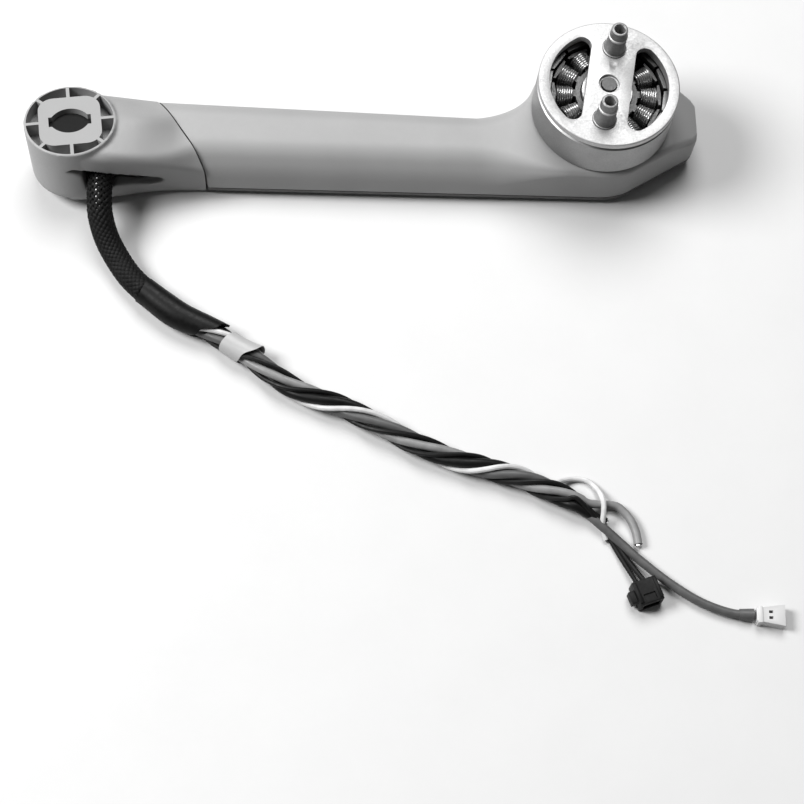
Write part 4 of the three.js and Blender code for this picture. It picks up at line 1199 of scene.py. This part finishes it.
INNER_WIRES = [
    [(6.0, -7.0, 9.3), (8.0, -6.0, 8.9), (11.0, -5.3, 8.3), (15.0, -4.6, 7.6), (20.0, -3.4, 7.2)],
    [(6.2, -7.0, 7.6), (8.6, -6.2, 7.2), (12.0, -5.6, 6.7), (16.0, -4.8, 6.3), (20.5, -3.6, 6.2)],
    [(5.0, -6.6, 8.4), (3.4, -5.2, 8.8), (3.6, -4.4, 7.8), (9.0, -3.8, 6.2), (19.0, -2.4, 5.9)],
]


def add_inner_wires():
    """The wires that turn from the sleeve into the arm, seen through the slot. Thick and black, they fill the
    hollow behind the slot: partly real wires, partly a dark filling that paints the shade in the hollow.
    """
    tubes = [tube_geometry(catmull(route, 0.5), 0.95, 12) for route in INNER_WIRES]
    add_piece(new_object("inner_wires", *gather(tubes), "black"), "arm", "black_insulation")


TAPE_ROUTE = [(31.0, -40.4, 2.5), (33.4, -42.1, 2.5), (35.9, -43.8, 2.5)]
TAPE_RADIUS = 2.38
TAPE_THICKNESS = 0.12
FLAP_ANGLE = 150
FLAP_LIFT = 0.7


def add_tape():
    """Pale tape round the bundle, flared where its free edge lifts."""
    run = Run(TAPE_ROUTE)

    def radius(angle, share):
        lifted = max(0.0, math.cos(angle - math.radians(FLAP_ANGLE)))
        return TAPE_RADIUS + 0.08 * math.sin(angle * 3) + FLAP_LIFT * lifted * share ** 2

    geometry = run.skin(
        lambda angle: 0.3 - 0.7 * math.sin(angle + 0.6),
        lambda angle: run.length - 0.6 - 1.5 * math.cos(angle) + 0.2 * math.sin(angle * 4),
        radius, TAPE_THICKNESS, 48, 16)
    tape = new_object("tape_wrap", *geometry, "tape", 50)
    add_piece(tape, "arm", "tape", "tape_band")


# ---------------------------------------------------------------- plugs
BLACK_PLUG = ((108.9, -87.9, 0.1), 20)  # where it lies, and how far it is turned
WHITE_PLUG = ((130.2, -94.2, 0.1), -2)
CONTACT_OFFSET = 0.75


def set_down(made, corner, degrees):
    made.data.transform(Matrix.Translation(corner) @ Matrix.Rotation(math.radians(degrees), 4, "Z"))
    return made


def add_black_plug():
    """A small crimp housing with a latch at its side, a rib on top and an open front."""
    body = join(block(-2.4, 2.4, -4.8, 0, 0, 3.4), block(-3.5, -2.2, -3.7, -1.3, 0.6, 2.6),
                block(-2.4, -1.7, -4.4, -0.4, 3.2, 3.7), block(1.7, 2.4, -4.4, -0.4, 3.2, 3.7))
    edge_rounded(body, 0.18)
    cut(body, block(-1.7, 1.7, -6, -1.6, 0.9, 2.5), block(-1.2, 1.2, -4.3, -2.9, 3.1, 4),
        *[rod(0.55, -1.2, 1, 24, x, 0) for x in (-CONTACT_OFFSET, CONTACT_OFFSET)])
    return released("signal_plug", set_down(body, *BLACK_PLUG), "nylon_black", "arm", "black_nylon",
                    ["black_plug"])


def add_terminal(name, x):
    """A pressed contact inside the black plug."""
    strip = solid(block(x - 0.3, x + 0.3, -4.2, -1.2, 1.3, 1.55))
    return released(name, set_down(strip, *BLACK_PLUG), "zinc", "arm", "zinc_steel")


def add_white_plug():
    """A two-way housing that widens to its mating end, with two small windows over its contacts."""
    outline = [(0, -1.25), (1.0, -1.4), (5.4, -2.1), (5.4, 2.1), (1.0, 1.4), (0, 1.25)]
    body = join(prism(outline, 0, 2.3), block(0.25, 1.1, -1.6, 1.6, 0.1, 2.45))
    edge_rounded(body, 0.18)
    cut(body, block(2.2, 6, -1.4, -0.25, 0.6, 1.7), block(2.2, 6, 0.25, 1.4, 0.6, 1.7),
        block(2.3, 3.1, -0.85, -0.3, 1.5, 3), block(2.3, 3.1, 0.3, 0.85, 1.5, 3))
    return released("cable_plug", set_down(body, *WHITE_PLUG), "nylon_white", "arm", "white_nylon",
                    ["white_plug"])


def add_plug_contacts():
    strips = join(block(2.35, 5.0, -1.0, -0.5, 0.8, 1.05), block(2.35, 5.0, 0.5, 1.0, 0.8, 1.05),
                  block(2.35, 2.6, -1.0, 1.0, 0.8, 1.05))
    return released("cable_plug_contacts", set_down(strips, *WHITE_PLUG), "dark_steel", "arm", "dark_steel")


def add_cable_boot(line):
    """The sleeve that flares over the grey cable where it enters its plug."""
    tail = line[-7:]
    points, faces = tube_geometry(tail, lambda share: 1.06 + 0.2 * share, 20)
    return add_piece(new_object("cable_boot", points, faces, "grey"), "arm", "grey_insulation")


# ---------------------------------------------------------------- the harness put together
REPLACED = {
    "wire_black": ("wire_bundle", "harness_neck"),
    "wire_grey": ("grey_cable",),
    "wire_pale": ("wire_loop",),
    "wire_black_slim": ("thin_lead",),
}
WIRE_SLOTS = {
    "black": "black_insulation", "black_thin": "black_insulation", "grey": "grey_insulation",
    "pale": "light_insulation", "white": "light_insulation",
}


def add_harness():
    add_sleeve()
    add_inner_wires()
    add_tape()
    strands = add_strands()
    cable = strands["wire_grey"][1]
    ends = {
        "wire_black_slim": [add_black_plug(), add_terminal("terminal_left", -CONTACT_OFFSET)],
        "wire_black_thin": [add_terminal("terminal_right", CONTACT_OFFSET)],
        "wire_grey": [add_white_plug(), add_plug_contacts(), add_cable_boot(cable)],
    }
    looks = {row[0]: row[6] for row in STRANDS}
    for name, (piece, line, diameter, far_end) in strands.items():
        add_piece(piece, "arm", WIRE_SLOTS[looks[name]], *REPLACED.get(name, ()))
        if name not in ends:
            stub = new_object(name + "_end", *wire_end(line, diameter), "zinc")
            ends[name] = [add_piece(stub, "arm", "zinc_steel")]


add_harness()

# ---------------------------------------------------------------- finishes on the frame's own parts
FINISHES = {
    # The hinge can is given black nylon so that the keyed hole above it reads dark: its black is painted
    # shade.
    "hinge_can": "nylon_black", "hinge_spring": "bearing", "hinge_follower": "bearing",
    "hinge_cam_shaft": "bearing", "root_screw": "zinc", "cover_screw": "zinc", "motor_screw": "zinc",
    "led_lens": "nylon_white", "led_board": "board", "inner_harness": "black", "motor_base": "cast",
    "stator_core": "laminations", "bearing": "bearing", "magnet_ring": "magnet",
    "motor_shaft": "laminations", "shaft_clip": "dark_steel",
}


def finish_frame_parts():
    for name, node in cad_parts.items():
        for start, look in FINISHES.items():
            if name.startswith(start) and node.type == "MESH":
                node.data.materials.clear()
                node.data.materials.append(LOOKS[look])


finish_frame_parts()
